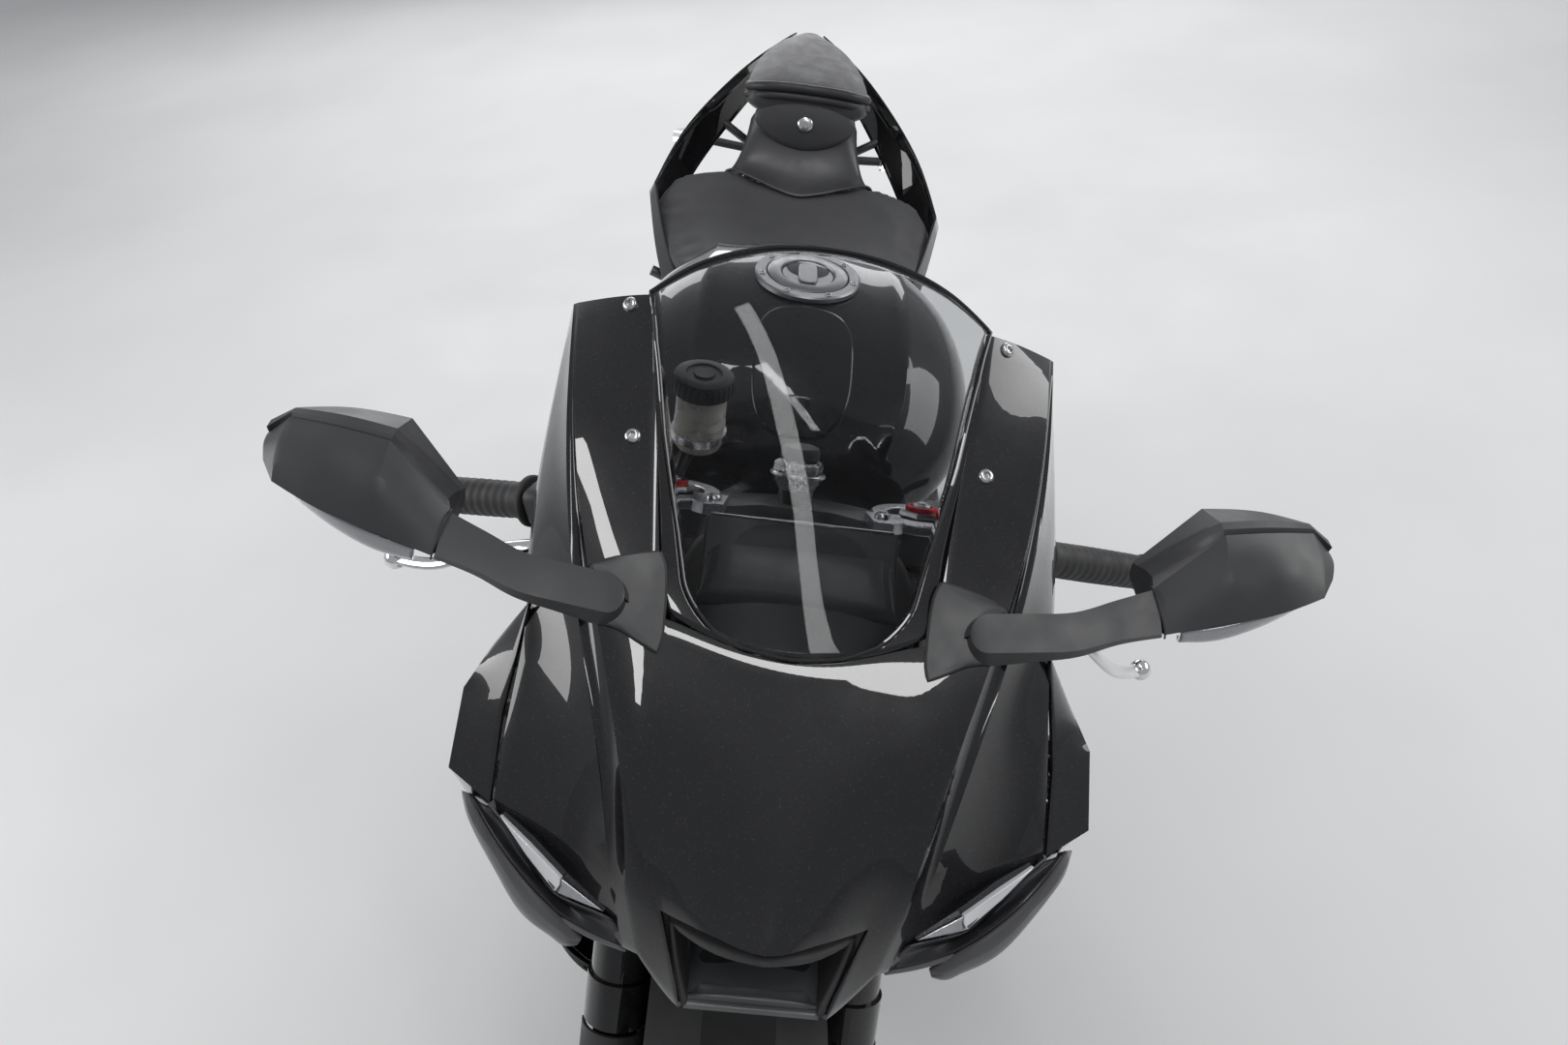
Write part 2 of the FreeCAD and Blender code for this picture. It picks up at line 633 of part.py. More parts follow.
# Steered parts
def yoke(top, thickness, clamp_radius, hollow):
    """Yoke with two fork clamps, square to the steering axis."""
    def at(forward, side, along):
        e = V(math.cos(rake), 0, math.sin(rake))
        base = V(steering_x(top), 0, top)
        return base + e * forward + V(0, side, 0) + STEER_UP * along

    offset = fork_offset()
    outline = [
        (-30, 0), (-22, 34), (offset - 20, FORK_SPACING - 8), (offset - 20, FORK_SPACING + 32),
        (offset + 30, FORK_SPACING + 32), (offset + 34, FORK_SPACING - 24), (26, 30), (28, 0),
    ]
    points = [at(f, s, 0) for f, s in outline] + [at(f, -s, 0) for f, s in outline[-2:0:-1]]
    face = Part.Face(Part.makePolygon(points + [points[0]]))
    plate = face.extrude(STEER_UP * -thickness)
    for side in (-1, 1):
        clamp = Part.makeCylinder(clamp_radius, thickness, at(offset, side * FORK_SPACING, -thickness), STEER_UP)
        plate = plate.fuse(clamp)
    for side in (-1, 1):
        hole = Part.makeCylinder(FORK_OUTER_RADIUS + FIT, thickness + 40, at(offset, side * FORK_SPACING, -thickness - 20), STEER_UP)
        plate = plate.cut(hole)
    if hollow:
        plate = plate.cut(Part.makeCylinder(STEM_RADIUS + FIT, thickness + 40, at(0, 0, -thickness - 20), STEER_UP))
    return plate.removeSplitter()


def fork_offset():
    """Distance from the steering axis forwards to the fork tubes."""
    return (fork_x(0) - steering_x(0)) * math.cos(rake)


def along_fork(z, side=1):
    return (fork_x(z), side * FORK_SPACING, z)


def fork_leg(side):
    outer = rod(along_fork(FORK_SEAL, side), along_fork(FORK_TOP, side), FORK_OUTER_RADIUS)
    seal = rod(along_fork(FORK_SEAL, side), along_fork(FORK_SEAL + SEAL_LENGTH, side), SEAL_RADIUS)
    inner = rod(along_fork(300, side), along_fork(FORK_SEAL + 1, side), FORK_INNER_RADIUS)
    cap = rod(along_fork(FORK_TOP - 2, side), along_fork(FORK_TOP + 8, side), 19)
    foot = block(FRONT_X - 34, FRONT_X + 34, side * 78 if side > 0 else -126, 126 if side > 0 else -78, FRONT_Z - 36, FRONT_Z + 60)
    leg = fused([outer, seal, inner, cap, foot])
    return leg.cut(rod((FRONT_X, -200, FRONT_Z), (FRONT_X, 200, FRONT_Z), FRONT_AXLE_RADIUS + FIT))


GRIP_ROOT = (376.0, 224.0, 903.0)
GRIP_END = (317.0, 350.0, 854.0)


def between(p, q, share):
    return tuple(a + (b - a) * share for a, b in zip(p, q))


CLIP_ON_Z = 905.0


def clip_on():
    z = CLIP_ON_Z
    clamp = rod(along_fork(z - 13), along_fork(z + 13), 40)
    start = (fork_x(z) - 10, FORK_SPACING + 22, z)
    inner_end = between(GRIP_ROOT, GRIP_END, -0.3)
    bar = rod(inner_end, between(GRIP_ROOT, GRIP_END, 1.02), 11)
    stub = rod(start, inner_end, 13)
    weight = rod(between(GRIP_ROOT, GRIP_END, 1.01), between(GRIP_ROOT, GRIP_END, 1.12), 15)
    body = fused([clamp, bar, stub, weight])
    return body.cut(rod(along_fork(z - 60), along_fork(z + 60), FORK_OUTER_RADIUS + FIT))


def grip():
    end = between(GRIP_ROOT, GRIP_END, 1.0)
    flange = between(GRIP_ROOT, GRIP_END, 0.04)
    body = rod(GRIP_ROOT, end, 16).fuse(rod(GRIP_ROOT, flange, 23))
    return body.cut(rod(between(GRIP_ROOT, GRIP_END, -0.2), between(GRIP_ROOT, GRIP_END, 1.4), 11 + FIT))


CLUTCH_LEVER = ((440.0, 207.0, 887.0), (402.0, 342.0, 806.0))
BRAKE_LEVER = ((444.0, 207.0, 905.0), (412.0, 338.0, 852.0))


def lever(pivot, tip):
    """Hand lever on its perch, with a ball at its end, on the left side."""
    perch = between(GRIP_ROOT, GRIP_END, -0.2)
    ring_part = rod(perch, between(GRIP_ROOT, GRIP_END, -0.05), 18)
    arm = cone(perch, pivot, 15, 12)
    blade = cone(pivot, tip, 10, 7)
    ball = Part.makeSphere(10, V(*tip))
    whole = fused([ring_part, arm, blade, ball])
    return whole.cut(rod(between(GRIP_ROOT, GRIP_END, -0.6), between(GRIP_ROOT, GRIP_END, 0.4), 11 + FIT))


def fender():
    """Front mudguard bent over the tyre."""
    r0, r1, half = FRONT_TYRE_RADIUS + 12, FRONT_TYRE_RADIUS + 15, 74
    profile = [(r0 - 60, -half), (r0 - 18, -half), (r0, -30), (r0, 30), (r0 - 18, half), (r0 - 60, half),
               (r0 - 60, half + 3), (r0 - 16, half + 3), (r1, 31), (r1, -31), (r0 - 16, -half - 3), (r0 - 60, -half - 3)]
    face = Part.Face(polygon([(FRONT_X + r, y, FRONT_Z) for r, y in profile]))
    face.rotate(V(FRONT_X, 0, FRONT_Z), V(0, 1, 0), -62)
    arc = face.revolve(V(FRONT_X, 0, FRONT_Z), V(0, 1, 0), -76)
    lugs = [rod((fork_x(560), s * 74, 560), (fork_x(560), s * FORK_SPACING, 560), 8) for s in (-1, 1)]
    return fused([arc, fork_guard(), mirrored(fork_guard())] + lugs)


GUARD_FOOT = 462.0
GUARD_TOP = FORK_SEAL - 4


def fork_guard():
    """Wing of the mudguard, with the half sleeve that covers the fork tube from the front."""
    sleeve = tube(along_fork(GUARD_FOOT), along_fork(GUARD_TOP), SEAL_RADIUS + 1, SEAL_RADIUS - 2)
    ends = [(fork_x(z), z) for z in (GUARD_FOOT - 20, GUARD_TOP + 20)]
    behind = prism_y(ends + [(x - 60, z) for x, z in ends[::-1]], 60, 150)
    high = 556
    edges = [(fork_x(z) + half, z) for z, half in ((GUARD_FOOT, 20), (high, 28))]
    edges += [(fork_x(z) - half, z) for z, half in ((high, 28), (GUARD_FOOT, 20))]
    return fused([sleeve.cut(behind), prism_y(edges, 74, 77)])


def front_caliper(side):
    x, z = FRONT_X - 108, FRONT_Z + 96
    body = block(x - 62, x + 40, 52, 92, z - 42, z + 46)
    lug = block(x - 20, x + 80, 78, 98, z - 40, z + 30)
    body = body.fuse(lug)
    body.rotate(V(x, 0, z), V(0, 1, 0), -20)
    body = body.cut(rod((FRONT_X, DISC_OFFSET - 5, FRONT_Z), (FRONT_X, DISC_OFFSET + 5, FRONT_Z), DISC_RADIUS + 5))
    return body if side > 0 else mirrored(body)


# Tank, seats and tail
FILLER = (104.5, 0.0, 1018.0)
CAP_RADIUS = 40.0
NECK_RADIUS = 30.0


def tank_half(half_width, top, shoulder, base, crown_half):
    """Left half profile of the tank, from the middle of the top down to the base."""
    return [
        (0, top), (crown_half * 0.5, top - 2), (crown_half, top - 10),
        (crown_half * 0.3 + half_width * 0.7, top * 0.6 + shoulder * 0.4), (half_width, shoulder),
        (half_width * 0.98, (shoulder + base) / 2), (half_width * 0.8, base),
    ]


def fuel_tank():
    stations = [
        (296, tank_half(110, 930, 880, 862, 60)),
        (250, tank_half(152, 986, 915, 850, 88)),
        (104, tank_half(168, 1018, 936, 840, 104)),
        (10, tank_half(160, 1010, 915, 820, 98)),
        (-90, tank_half(122, 950, 870, 800, 76)),
        (-160, tank_half(98, 888, 840, 790, 60)),
        (-186, tank_half(90, 868, 832, 790, 54)),
    ]
    body = body_loft([(x, whole_width(half)) for x, half in stations])
    return body


def filler_parts(tank):
    """Tank with its filler neck, the ring on it and the hinged cap."""
    x, _, z = FILLER
    neck = rod((x, 0, z - 60), (x, 0, z + 30), NECK_RADIUS)
    seat = rod((x, 0, z - 4), (x, 0, z + 30), 53)
    tank = tank.cut(seat).cut(neck)
    collar = tube((x, 0, z - 4), (x, 0, z + 3), 53, CAP_RADIUS + 1.5)
    floor = tube((x, 0, z - 4), (x, 0, z - 1), CAP_RADIUS + 2, NECK_RADIUS)
    collar = fused([collar, floor])
    notch = block(x + CAP_RADIUS - 6, x + CAP_RADIUS + 14, -10, 10, z - 1, z + 10)
    collar = collar.cut(notch)
    hinge_x, hinge_z = x + CAP_RADIUS + 6, z + 4
    cap = rod((x, 0, z - 0.5), (x, 0, z + 5), CAP_RADIUS)
    ear = block(x + CAP_RADIUS - 8, hinge_x, -8, 8, z, z + 5)
    knuckle = rod((hinge_x, -8, hinge_z), (hinge_x, 8, hinge_z), 3.5)
    cap = fused([cap, ear, knuckle])
    pin = rod((hinge_x, -12, hinge_z), (hinge_x, 12, hinge_z), 1.5)
    cap = cap.cut(rod((hinge_x, -20, hinge_z), (hinge_x, 20, hinge_z), 1.5 + FIT))
    posts = [block(hinge_x - 4, hinge_x + 4, y, y + 3, z + 2, hinge_z + 3.5) for y in (-12, 9)]
    collar = fused([collar, pin] + posts)
    return tank, collar, cap


def seat_half(half_width, top, peak, edge, base):
    """Left half of a cushion: middle, peak beside it, outer edge and underside."""
    return [
        (0, top), (half_width * 0.28, (top * 2 + peak) / 3), (half_width * 0.56, peak),
        (half_width * 0.85, (peak + edge) / 2 + 3), (half_width, edge),
        (half_width * 0.98, edge - 10), (half_width * 0.9, base),
    ]


def rider_seat():
    stations = [
        (-187, seat_half(100, 866, 864, 850, 806)),
        (-240, seat_half(142, 856, 860, 850, 806)),
        (-320, seat_half(170, 860, 870, 858, 816)),
        (-385, seat_half(182, 880, 894, 876, 836)),
        (-418, seat_half(172, 897, 913, 886, 856)),
    ]
    return body_loft([(x, whole_width(half)) for x, half in stations])


def pillion_half(half_width, top, edge, base):
    return [
        (0, top), (half_width * 0.4, top - 1), (half_width * 0.8, top - 8),
        (half_width * 0.97, (top + edge) / 2 - 3), (half_width, edge),
        (half_width * 0.96, (edge + base) / 2), (half_width * 0.9, base),
    ]


def pillion_seat():
    stations = [
        (-458, pillion_half(78, 1016, 990, 952)),
        (-476, pillion_half(84, 1022, 996, 948)),
        (-560, pillion_half(80, 1030, 1002, 958)),
        (-640, pillion_half(58, 1036, 1012, 976)),
        (-704, pillion_half(22, 1030, 1018, 996)),
    ]
    return body_loft([(x, whole_width(half)) for x, half in stations])


def subframe():
    rail = loft([
        bevelled_box_section((-118, 132, 630), 26, 44, 4),
        bevelled_box_section((-300, 96, 760), 26, 46, 4),
        bevelled_box_section((-470, 70, 852), 24, 44, 4),
        bevelled_box_section((-640, 50, 912), 20, 34, 4),
    ])
    cross = [block(-480, -440, -70, 70, 826, 838), block(-640, -610, -50, 50, 892, 900)]
    return fused([rail, mirrored(rail)] + cross)


def tail_side():
    """Outer tail panel with the slot that air passes through beside the seat."""
    rows = [
        [(-160, 118, 820), (-260, 158, 842), (-400, 196, 890), (-480, 168, 935), (-580, 104, 992), (-725, 22, 1022)],
        [(-160, 128, 790), (-260, 168, 816), (-405, 203, 872), (-490, 172, 915), (-590, 106, 972), (-740, 24, 1008)],
        [(-185, 112, 745), (-280, 148, 782), (-415, 172, 842), (-510, 140, 884), (-610, 86, 942), (-745, 22, 990)],
    ]
    return grid_panel(rows, PANEL, (-420, 20, 850))


def tail_centre():
    """Cover between the rider's seat and the pillion's pad, open at both sides."""
    sections = []
    for x, w, top, base in ((-404, 96, 905, 840), (-440, 86, 940, 842), (-458, 74, 962, 846), (-560, 62, 960, 880), (-660, 46, 980, 912), (-722, 22, 1006, 968)):
        sections.append([(x, -w, top), (x, w, top), (x, w * 0.9, base), (x, -w * 0.9, base)])
    return loft(sections)


def tail_lamp():
    return prism_y([(-700, 976), (-738, 1004), (-752, 992), (-728, 962)], -19, 19)


PLATE_TOP = (-942.0, 646.0)
PLATE_FOOT = (-1028.0, 518.0)
PLATE_THICKNESS = 5.0
PLATE_HALF_WIDTH = 92.0
PLATE_HOLE_SPACING = 146.0
PLATE_HOLE_RADIUS = 3.3
PLATE_HOLE_DROP = 22.0


def plate_frame():
    """Direction down the plate's panel, and outwards from it, as (x, z) pairs."""
    dx, dz = PLATE_FOOT[0] - PLATE_TOP[0], PLATE_FOOT[1] - PLATE_TOP[1]
    length = math.hypot(dx, dz)
    return (dx / length, dz / length), (dz / length, -dx / length)


def plate_holder():
    arm = prism_y([(-600, 900), (-700, 930), (-810, 820), (-960, 640), (-950, 630), (-795, 790), (-690, 890), (-600, 870)], -34, 34)
    down, out = plate_frame()
    inner = [PLATE_TOP, PLATE_FOOT]
    outer = [(x + out[0] * PLATE_THICKNESS, z + out[1] * PLATE_THICKNESS) for x, z in inner[::-1]]
    panel_piece = prism_y(inner + outer, -PLATE_HALF_WIDTH, PLATE_HALF_WIDTH)
    hole_x = PLATE_TOP[0] + down[0] * PLATE_HOLE_DROP
    hole_z = PLATE_TOP[1] + down[1] * PLATE_HOLE_DROP
    for side in (-1, 1):
        y = side * PLATE_HOLE_SPACING / 2
        start = (hole_x - out[0] * 20, y, hole_z - out[1] * 20)
        end = (hole_x + out[0] * 20, y, hole_z + out[1] * 20)
        panel_piece = panel_piece.cut(rod(start, end, PLATE_HOLE_RADIUS))
    stalks = [rod((-796, s * 30, 802), (-800, s * 150, 810), 7) for s in (-1, 1)]
    return fused([arm, panel_piece] + stalks)


def rear_indicators():
    lamp = loft([
        [(x, y, z) for x, z in rows]
        for y, rows in (
            (146, [(-784, 800), (-784, 820), (-820, 822), (-824, 802)]),
            (200, [(-790, 804), (-790, 818), (-810, 818), (-814, 804)]),
        )
    ])
    return both_sides(lamp)


# Running gear attached to the frame
def exhaust_headers():
    """Four pipes from the cylinder head, joined under the engine."""
    pipes = []
    for y in (-120, -40, 40, 120):
        path = [(300, y, 592), (344, y, 560), (340, y, 420), (300, y * 0.8, 236), (240, y * 0.6, 212), (150, y * 0.45, 208)]
        pipes.append(bent_pipe(path, 18, 60))
    box = block(-60, 160, -86, 86, 186, 232)
    tail = bent_pipe([(-50, -50, 212), (-150, -80, 216), (-240, -190, 262)], 22, 60)
    return fused(pipes + [box, tail])


def bent_pipe(path, radius, bend):
    """Round pipe along straight runs with tangent arcs between them."""
    points = [V(*p) for p in path]
    edges, start = [], points[0]
    for i in range(1, len(points) - 1):
        before, corner, after = points[i - 1], points[i], points[i + 1]
        u, w = (before - corner).normalize(), (after - corner).normalize()
        half = u.getAngle(w) / 2
        room = 0.45 * min((before - corner).Length, (after - corner).Length)
        back = min(room, bend / math.tan(half))
        r = back * math.tan(half)
        p, q = corner + u * back, corner + w * back
        middle = (u + w).normalize()
        centre = corner + middle * (r / math.sin(half))
        edges.append(Part.makeLine(start, p))
        edges.append(Part.Arc(p, centre - middle * r, q).toShape())
        start = q
    edges.append(Part.makeLine(start, points[-1]))
    wire = Part.Wire(edges)
    first = points[1] - points[0]
    circle = Part.Wire([Part.makeCircle(radius, points[0], first)])
    return wire.makePipeShell([circle], True, True)


def muffler():
    sections = []
    for x, y, z, w, h in ((-222, -176, 258, 50, 56), (-262, -198, 272, 76, 92), (-420, -202, 312, 84, 112), (-520, -206, 344, 74, 96)):
        sections.append(bevelled_box_section((x, y, z), w, h, 16))
    body = loft(sections)
    outlet = rod((-440, -203, 322), (-540, -207, 350), 26)
    return body.cut(outlet)


RADIATOR_FOOT = 440.0
RADIATOR_TOP = 668.0
RADIATOR_HALF_WIDTH = 168.0
RADIATOR_DEPTH = 26.0
RADIATOR_TILT = 6.0


def radiator():
    """Curved radiator core whose ends reach forwards, with its stays to the frame and engine."""
    front = [(408, RADIATOR_HALF_WIDTH), (400, 100), (396, 0), (400, -100), (408, -RADIATOR_HALF_WIDTH)]
    back = [(x - RADIATOR_DEPTH, -y) for x, y in front]
    core = prism_z(front + back, RADIATOR_FOOT, RADIATOR_TOP)
    core.rotate(V(392, 0, RADIATOR_FOOT), V(0, 1, 0), RADIATOR_TILT)
    upper = [rod((400, s * 110, RADIATOR_TOP - 30), (330, s * 112, 800), 7) for s in (-1, 1)]
    lower = [rod((390, s * 80, RADIATOR_FOOT + 20), (250, s * 80, 400), 6) for s in (-1, 1)]
    return fused([core] + upper + lower)


def side_stand():
    pivot = V(*STAND_PIVOT)
    foot = V(*STAND_FOOT, 0)
    ground = foot.y * math.tan(lean)
    foot.z = ground
    leg_end = foot + V(0, 0, 10)
    eye = Part.makeCylinder(19, 16, pivot - STAND_AXIS * 8, STAND_AXIS)
    start = pivot + (leg_end - pivot).normalize() * 12
    leg = rod(tuple(start), tuple(leg_end), STAND_LEG_RADIUS)
    pad = Part.makeCylinder(28, 9, V(0, 0, 0), V(0, 0, 1))
    pad.rotate(V(0, 0, 0), V(1, 0, 0), LEAN)
    pad.translate(V(foot.x, foot.y, ground))
    whole = fused([eye, leg, pad])
    return whole.cut(Part.makeCylinder(6 + FIT, 60, pivot - STAND_AXIS * 30, STAND_AXIS))


STAND_AXIS = V(0.043, 0.912, 0.407)
STAND_PIVOT = (-78.0, 166.0, 262.0)
STAND_FOOT = (-30.0, 250.0)
STAND_LEG_RADIUS = 13.0


def stand_bracket():
    """Arm from the lower cross tube to the stand's pivot, with its pin."""
    pivot = V(*STAND_PIVOT)
    root = pivot - STAND_AXIS * 20
    arm = rod(tuple(root), (-150, 130, 304), 7)
    boss = Part.makeCylinder(11, 11, pivot - STAND_AXIS * 19.6, STAND_AXIS)
    pin = Part.makeCylinder(6, 29, pivot - STAND_AXIS * 20, STAND_AXIS)
    return fused([arm, boss, pin])


def footrest(side):
    """Rider's footrest with its bracket, heel guard and pedal."""
    plate = prism_y([(-150, 470), (-90, 430), (-150, 360), (-250, 330), (-300, 372), (-250, 420)], 182, 190)
    boss = block(-150, -110, 176, 184, 400, 450)
    peg = rod((-240, 190, 368), (-250, 262, 372), 10)
    pedal = rod((-230, 196, 352), (-100, 202, 334), 6).fuse(rod((-100, 190, 334), (-100, 238, 334), 7))
    shape = fused([plate, boss, peg, pedal])
    return shape if side > 0 else mirrored(shape)


def pillion_footrests():
    bracket = prism_y([(-330, 762), (-392, 800), (-430, 540), (-412, 530)], 92, 104)
    peg = rod((-420, 100, 545), (-432, 190, 552), 9)
    return both_sides(bracket.fuse(peg))


def rear_shock():
    return rod((-146, 0, 585), (-272, 0, 396), 28)


DASH_HALF_WIDTH = 78.0


def dash():
    """Instrument housing: display towards the rider, sloping back, and a tray down to the screen's foot."""
    housing = prism_y(
        [(506, 960), (500, 1010), (528, 990), (556, 972), (552, 956), (530, 948)],
        -DASH_HALF_WIDTH, DASH_HALF_WIDTH,
    )
    tray = loft([
        [(550, -84, 962), (550, 84, 962), (550, 84, 966), (550, -84, 966)],
        [(588, -58, 946), (588, 58, 946), (588, 58, 950), (588, -58, 950)],
    ])
    return fused([housing, tray])


def fairing_stay():
    neck = rod((440, 0, 858), (600, 0, 868), 16)
    crossbar = rod((596, -150, 880), (596, 150, 880), 9)
    arms = [rod((596, s * 70, 880), (592, s * 88, 954), 8) for s in (-1, 1)]
    dash_arm = rod((562, 0, 866), (540, 0, 960), 9)
    lower = [rod((590, s * 60, 872), (640, s * 56, 790), 7) for s in (-1, 1)]
    outer = [rod((596, s * 140, 880), (604, s * 260, 872), 7) for s in (-1, 1)]
    return fused([neck, crossbar, dash_arm] + arms + lower + outer)


def bottle():
    foot = rod((408, -108, 930), (374, -90, 990), 6)
    x, y = 374, -88
    cup = rod((x, y, 980), (x, y, 1034), 21)
    return foot, cup, rod((x, y, 1034), (x, y, 1052), 25)


def headlamps():
    """Slim position lamp under each edge of the nose, and the round lamp below it."""
    outer, corner, inner = (V(*p) for p in LAMP)
    top = Part.Face(Part.makePolygon([outer, corner, inner, outer]))
    slim = top.extrude(LAMP_DEPTH)
    x, y, z = near("d3", -50, 40, 10)
    lamp = rod((x, y, z), (x + 24, y - 4, z - 16), 24)
    arm = rod((596, 140, 878), (x, y, z), 7)
    web = rod((x, y, z), tuple((outer + corner + inner) * (1 / 3) + LAMP_DEPTH * 0.5), 6)
    whole = fused([lamp, arm, web, slim])
    return whole.cut(rod((596, -160, 880), (596, 160, 880), 9))


def brake_hoses():
    """Hoses from the lower yoke down to the front calipers."""
    path = [(484, 97, 754), (496, 100, 690), (556, 114, 520), (590, 84, 430)]
    return both_sides(bent_pipe(path, 4.5, 40))


def tail_stays():
    stays = []
    for s in (-1, 1):
        stays.append(rod((-300, s * 90, 770), (-300, s * 185, 806), 7))
        stays.append(rod((-560, s * 55, 890), (-570, s * 140, 940), 6))
    return fused(stays)


def belly_stays():
    return fused([rod((100, s * 112, 165), (100, s * 112, 262), 8) for s in (-1, 1)])


def rear_caliper():
    """Rear brake caliper on a bracket from the swingarm."""
    x, z = REAR_X + 84, REAR_Z + 62
    y = REAR_DISC_OFFSET
    body = block(x - 40, x + 30, y - 22, y + 20, z - 22, z + 30)
    body = body.cut(block(x - 80, x + 80, y - 4.5, y + 4.5, z - 60, z + 60))
    bridge = block(x - 40, x + 30, y - 22, y + 20, z + 30, z + 40)
    bracket = block(x - 20, x + 30, -125, y - 20, z - 20, z + 20)
    clear = rod((REAR_X, y - 4.5, REAR_Z), (REAR_X, y + 4.5, REAR_Z), REAR_DISC_RADIUS + 5)
    return fused([body, bridge, bracket]).cut(clear)


# Assembly
def assemble():
    nodes = {}
    nodes.update(front_wheel_parts())
    nodes.update(rear_wheel_parts())
    nodes["drive_chain"] = chain()
    nodes["engine"] = engine()
    x, z = SPROCKET_CENTRE
    shaft = rod((x, SPROCKET_FLOOR, z), (x, CHAIN_LINE + 8, z), 12)
    nodes["front_sprocket"] = sprocket(x, z, CHAIN_LINE, FRONT_SPROCKET_TEETH, 8).fuse(shaft).removeSplitter()
    cover = rod((x, CHAIN_LINE + 12, z), (x, 140, z), SPROCKET_POCKET + 8)
    cover = cover.cut(block(x - 100, x - 42, 0, 200, z - 100, z + 100))
    nodes["sprocket_cover"] = cover.cut(nodes["engine"])
    nodes["main_frame"] = main_frame().fuse(stand_bracket()).cut(nodes["engine"])
    nodes["sprocket_cover"] = nodes["sprocket_cover"].cut(nodes["main_frame"])
    nodes["subframe"] = subframe().cut(nodes["main_frame"])
    nodes["swingarm"] = swingarm()
    nodes["swingarm_pivot"] = rod((PIVOT[0], -180, PIVOT[1]), (PIVOT[0], 180, PIVOT[1]), 12)
    nodes["main_frame"] = nodes["main_frame"].cut(rod((PIVOT[0], -300, PIVOT[1]), (PIVOT[0], 300, PIVOT[1]), 12 + FIT))
    nodes["rear_shock"] = rear_shock().cut(nodes["swingarm"]).cut(nodes["main_frame"])
    nodes["rear_caliper"] = rear_caliper().cut(nodes["swingarm"])
    nodes["rear_axle"] = rod((REAR_X, -166, REAR_Z), (REAR_X, 166, REAR_Z), REAR_AXLE_RADIUS)
    nodes["front_axle"] = rod((FRONT_X, -132, FRONT_Z), (FRONT_X, 132, FRONT_Z), FRONT_AXLE_RADIUS)

    nodes["fork"] = Part.makeCompound([fork_leg(1), fork_leg(-1)])
    nodes["upper_yoke"] = yoke(UPPER_YOKE_TOP, UPPER_YOKE_THICKNESS, 38, True)
    nodes["lower_yoke"] = yoke(LOWER_YOKE_TOP, LOWER_YOKE_THICKNESS, 40, True)
    stem = rod((steering_x(750), 0, 750), (steering_x(952), 0, 952), STEM_RADIUS)
    nut = rod((steering_x(946), 0, 946), (steering_x(STEM_NUT_TOP), 0, STEM_NUT_TOP), 20)
    bore = rod((steering_x(700), 0, 700), (steering_x(1000), 0, 1000), STEM_BORE)
    nodes["steering_stem"] = stem.fuse(nut).cut(bore)
    nodes["clip_ons"] = both_sides(clip_on())
    nodes["grips"] = both_sides(grip())
    levers = Part.makeCompound([lever(*CLUTCH_LEVER), mirrored(lever(*BRAKE_LEVER))])
    nodes["levers"] = levers.cut(nodes["clip_ons"])
    nodes["front_mudguard"] = fender().cut(nodes["fork"])
    nodes["front_calipers"] = Part.makeCompound([front_caliper(1), front_caliper(-1)]).cut(nodes["fork"])
    nodes["brake_hoses"] = brake_hoses().cut(nodes["front_calipers"]).cut(nodes["lower_yoke"]).cut(nodes["fork"])
    foot, cup, lid = bottle()
    nodes["brake_reservoir"] = fused([foot, cup, lid]).cut(nodes["upper_yoke"]).cut(nodes["fork"])

    nose, screen, side, belly, lip = fairing()
    nodes["nose_cowl"] = nose
    nodes["windscreen"] = screen
    nodes["side_cowl_left"] = side
    nodes["side_cowl_right"] = mirrored(side)
    nodes["belly_pan"] = belly.fuse(belly_stays()).cut(nodes["engine"])
    nodes["headlamps"] = both_sides(largest(headlamps().cut(nose)))
    nodes["nose_lips"] = both_sides(largest(lip.cut(nose).cut(side))).cut(nodes["headlamps"])
    nodes["nose_duct"] = nose_duct().cut(nose)
    nodes["main_frame"] = largest(nodes["main_frame"].cut(side).cut(mirrored(side)))
    nodes["fairing_stay"] = fairing_stay()
    for other in ("main_frame", "nose_cowl", "side_cowl_left", "side_cowl_right", "nose_duct", "headlamps"):
        nodes["fairing_stay"] = largest(nodes["fairing_stay"].cut(nodes[other]))
    nodes["instrument_panel"] = dash().cut(nodes["fairing_stay"])
    arm = mirror_arm().cut(nose).cut(screen)
    housing = mirror_housing()
    glass = mirror_glass()
    nodes["mirrors"] = both_sides(fused([largest(arm), housing]).cut(glass))
    nodes["mirror_glasses"] = both_sides(glass)

    tank, collar, cap = filler_parts(fuel_tank())
    nodes["main_frame"] = nodes["main_frame"].cut(tank)
    nodes["fuel_tank"] = tank
    nodes["filler_ring"] = collar
    nodes["fuel_cap"] = cap
    nodes["tail_sides"] = both_sides(tail_side())
    nodes["subframe"] = nodes["subframe"].fuse(tail_stays()).cut(nodes["tail_sides"]).cut(nodes["fuel_tank"])
    nodes["subframe"] = largest(nodes["subframe"])
    nodes["rider_seat"] = rider_seat().cut(nodes["fuel_tank"]).cut(nodes["subframe"]).cut(nodes["tail_sides"])
    nodes["pillion_seat"] = pillion_seat()
    nodes["tail_centre"] = tail_centre()
    for other in ("pillion_seat", "subframe", "tail_sides", "rider_seat"):
        nodes["tail_centre"] = nodes["tail_centre"].cut(nodes[other])
    nodes["tail_lamp"] = tail_lamp().cut(nodes["tail_centre"])
    nodes["plate_holder"] = plate_holder().cut(nodes["subframe"]).cut(nodes["tail_centre"])
    nodes["rear_indicators"] = rear_indicators().cut(nodes["plate_holder"])
    nodes["exhaust_pipes"] = exhaust_headers().cut(nodes["engine"])
    nodes["muffler"] = muffler().cut(nodes["exhaust_pipes"])
    nodes["radiator"] = radiator().cut(nodes["engine"]).cut(nodes["main_frame"]).cut(nodes["exhaust_pipes"])
    nodes["side_stand"] = side_stand()
    nodes["footrests"] = both_sides(footrest(1).cut(nodes["main_frame"]))
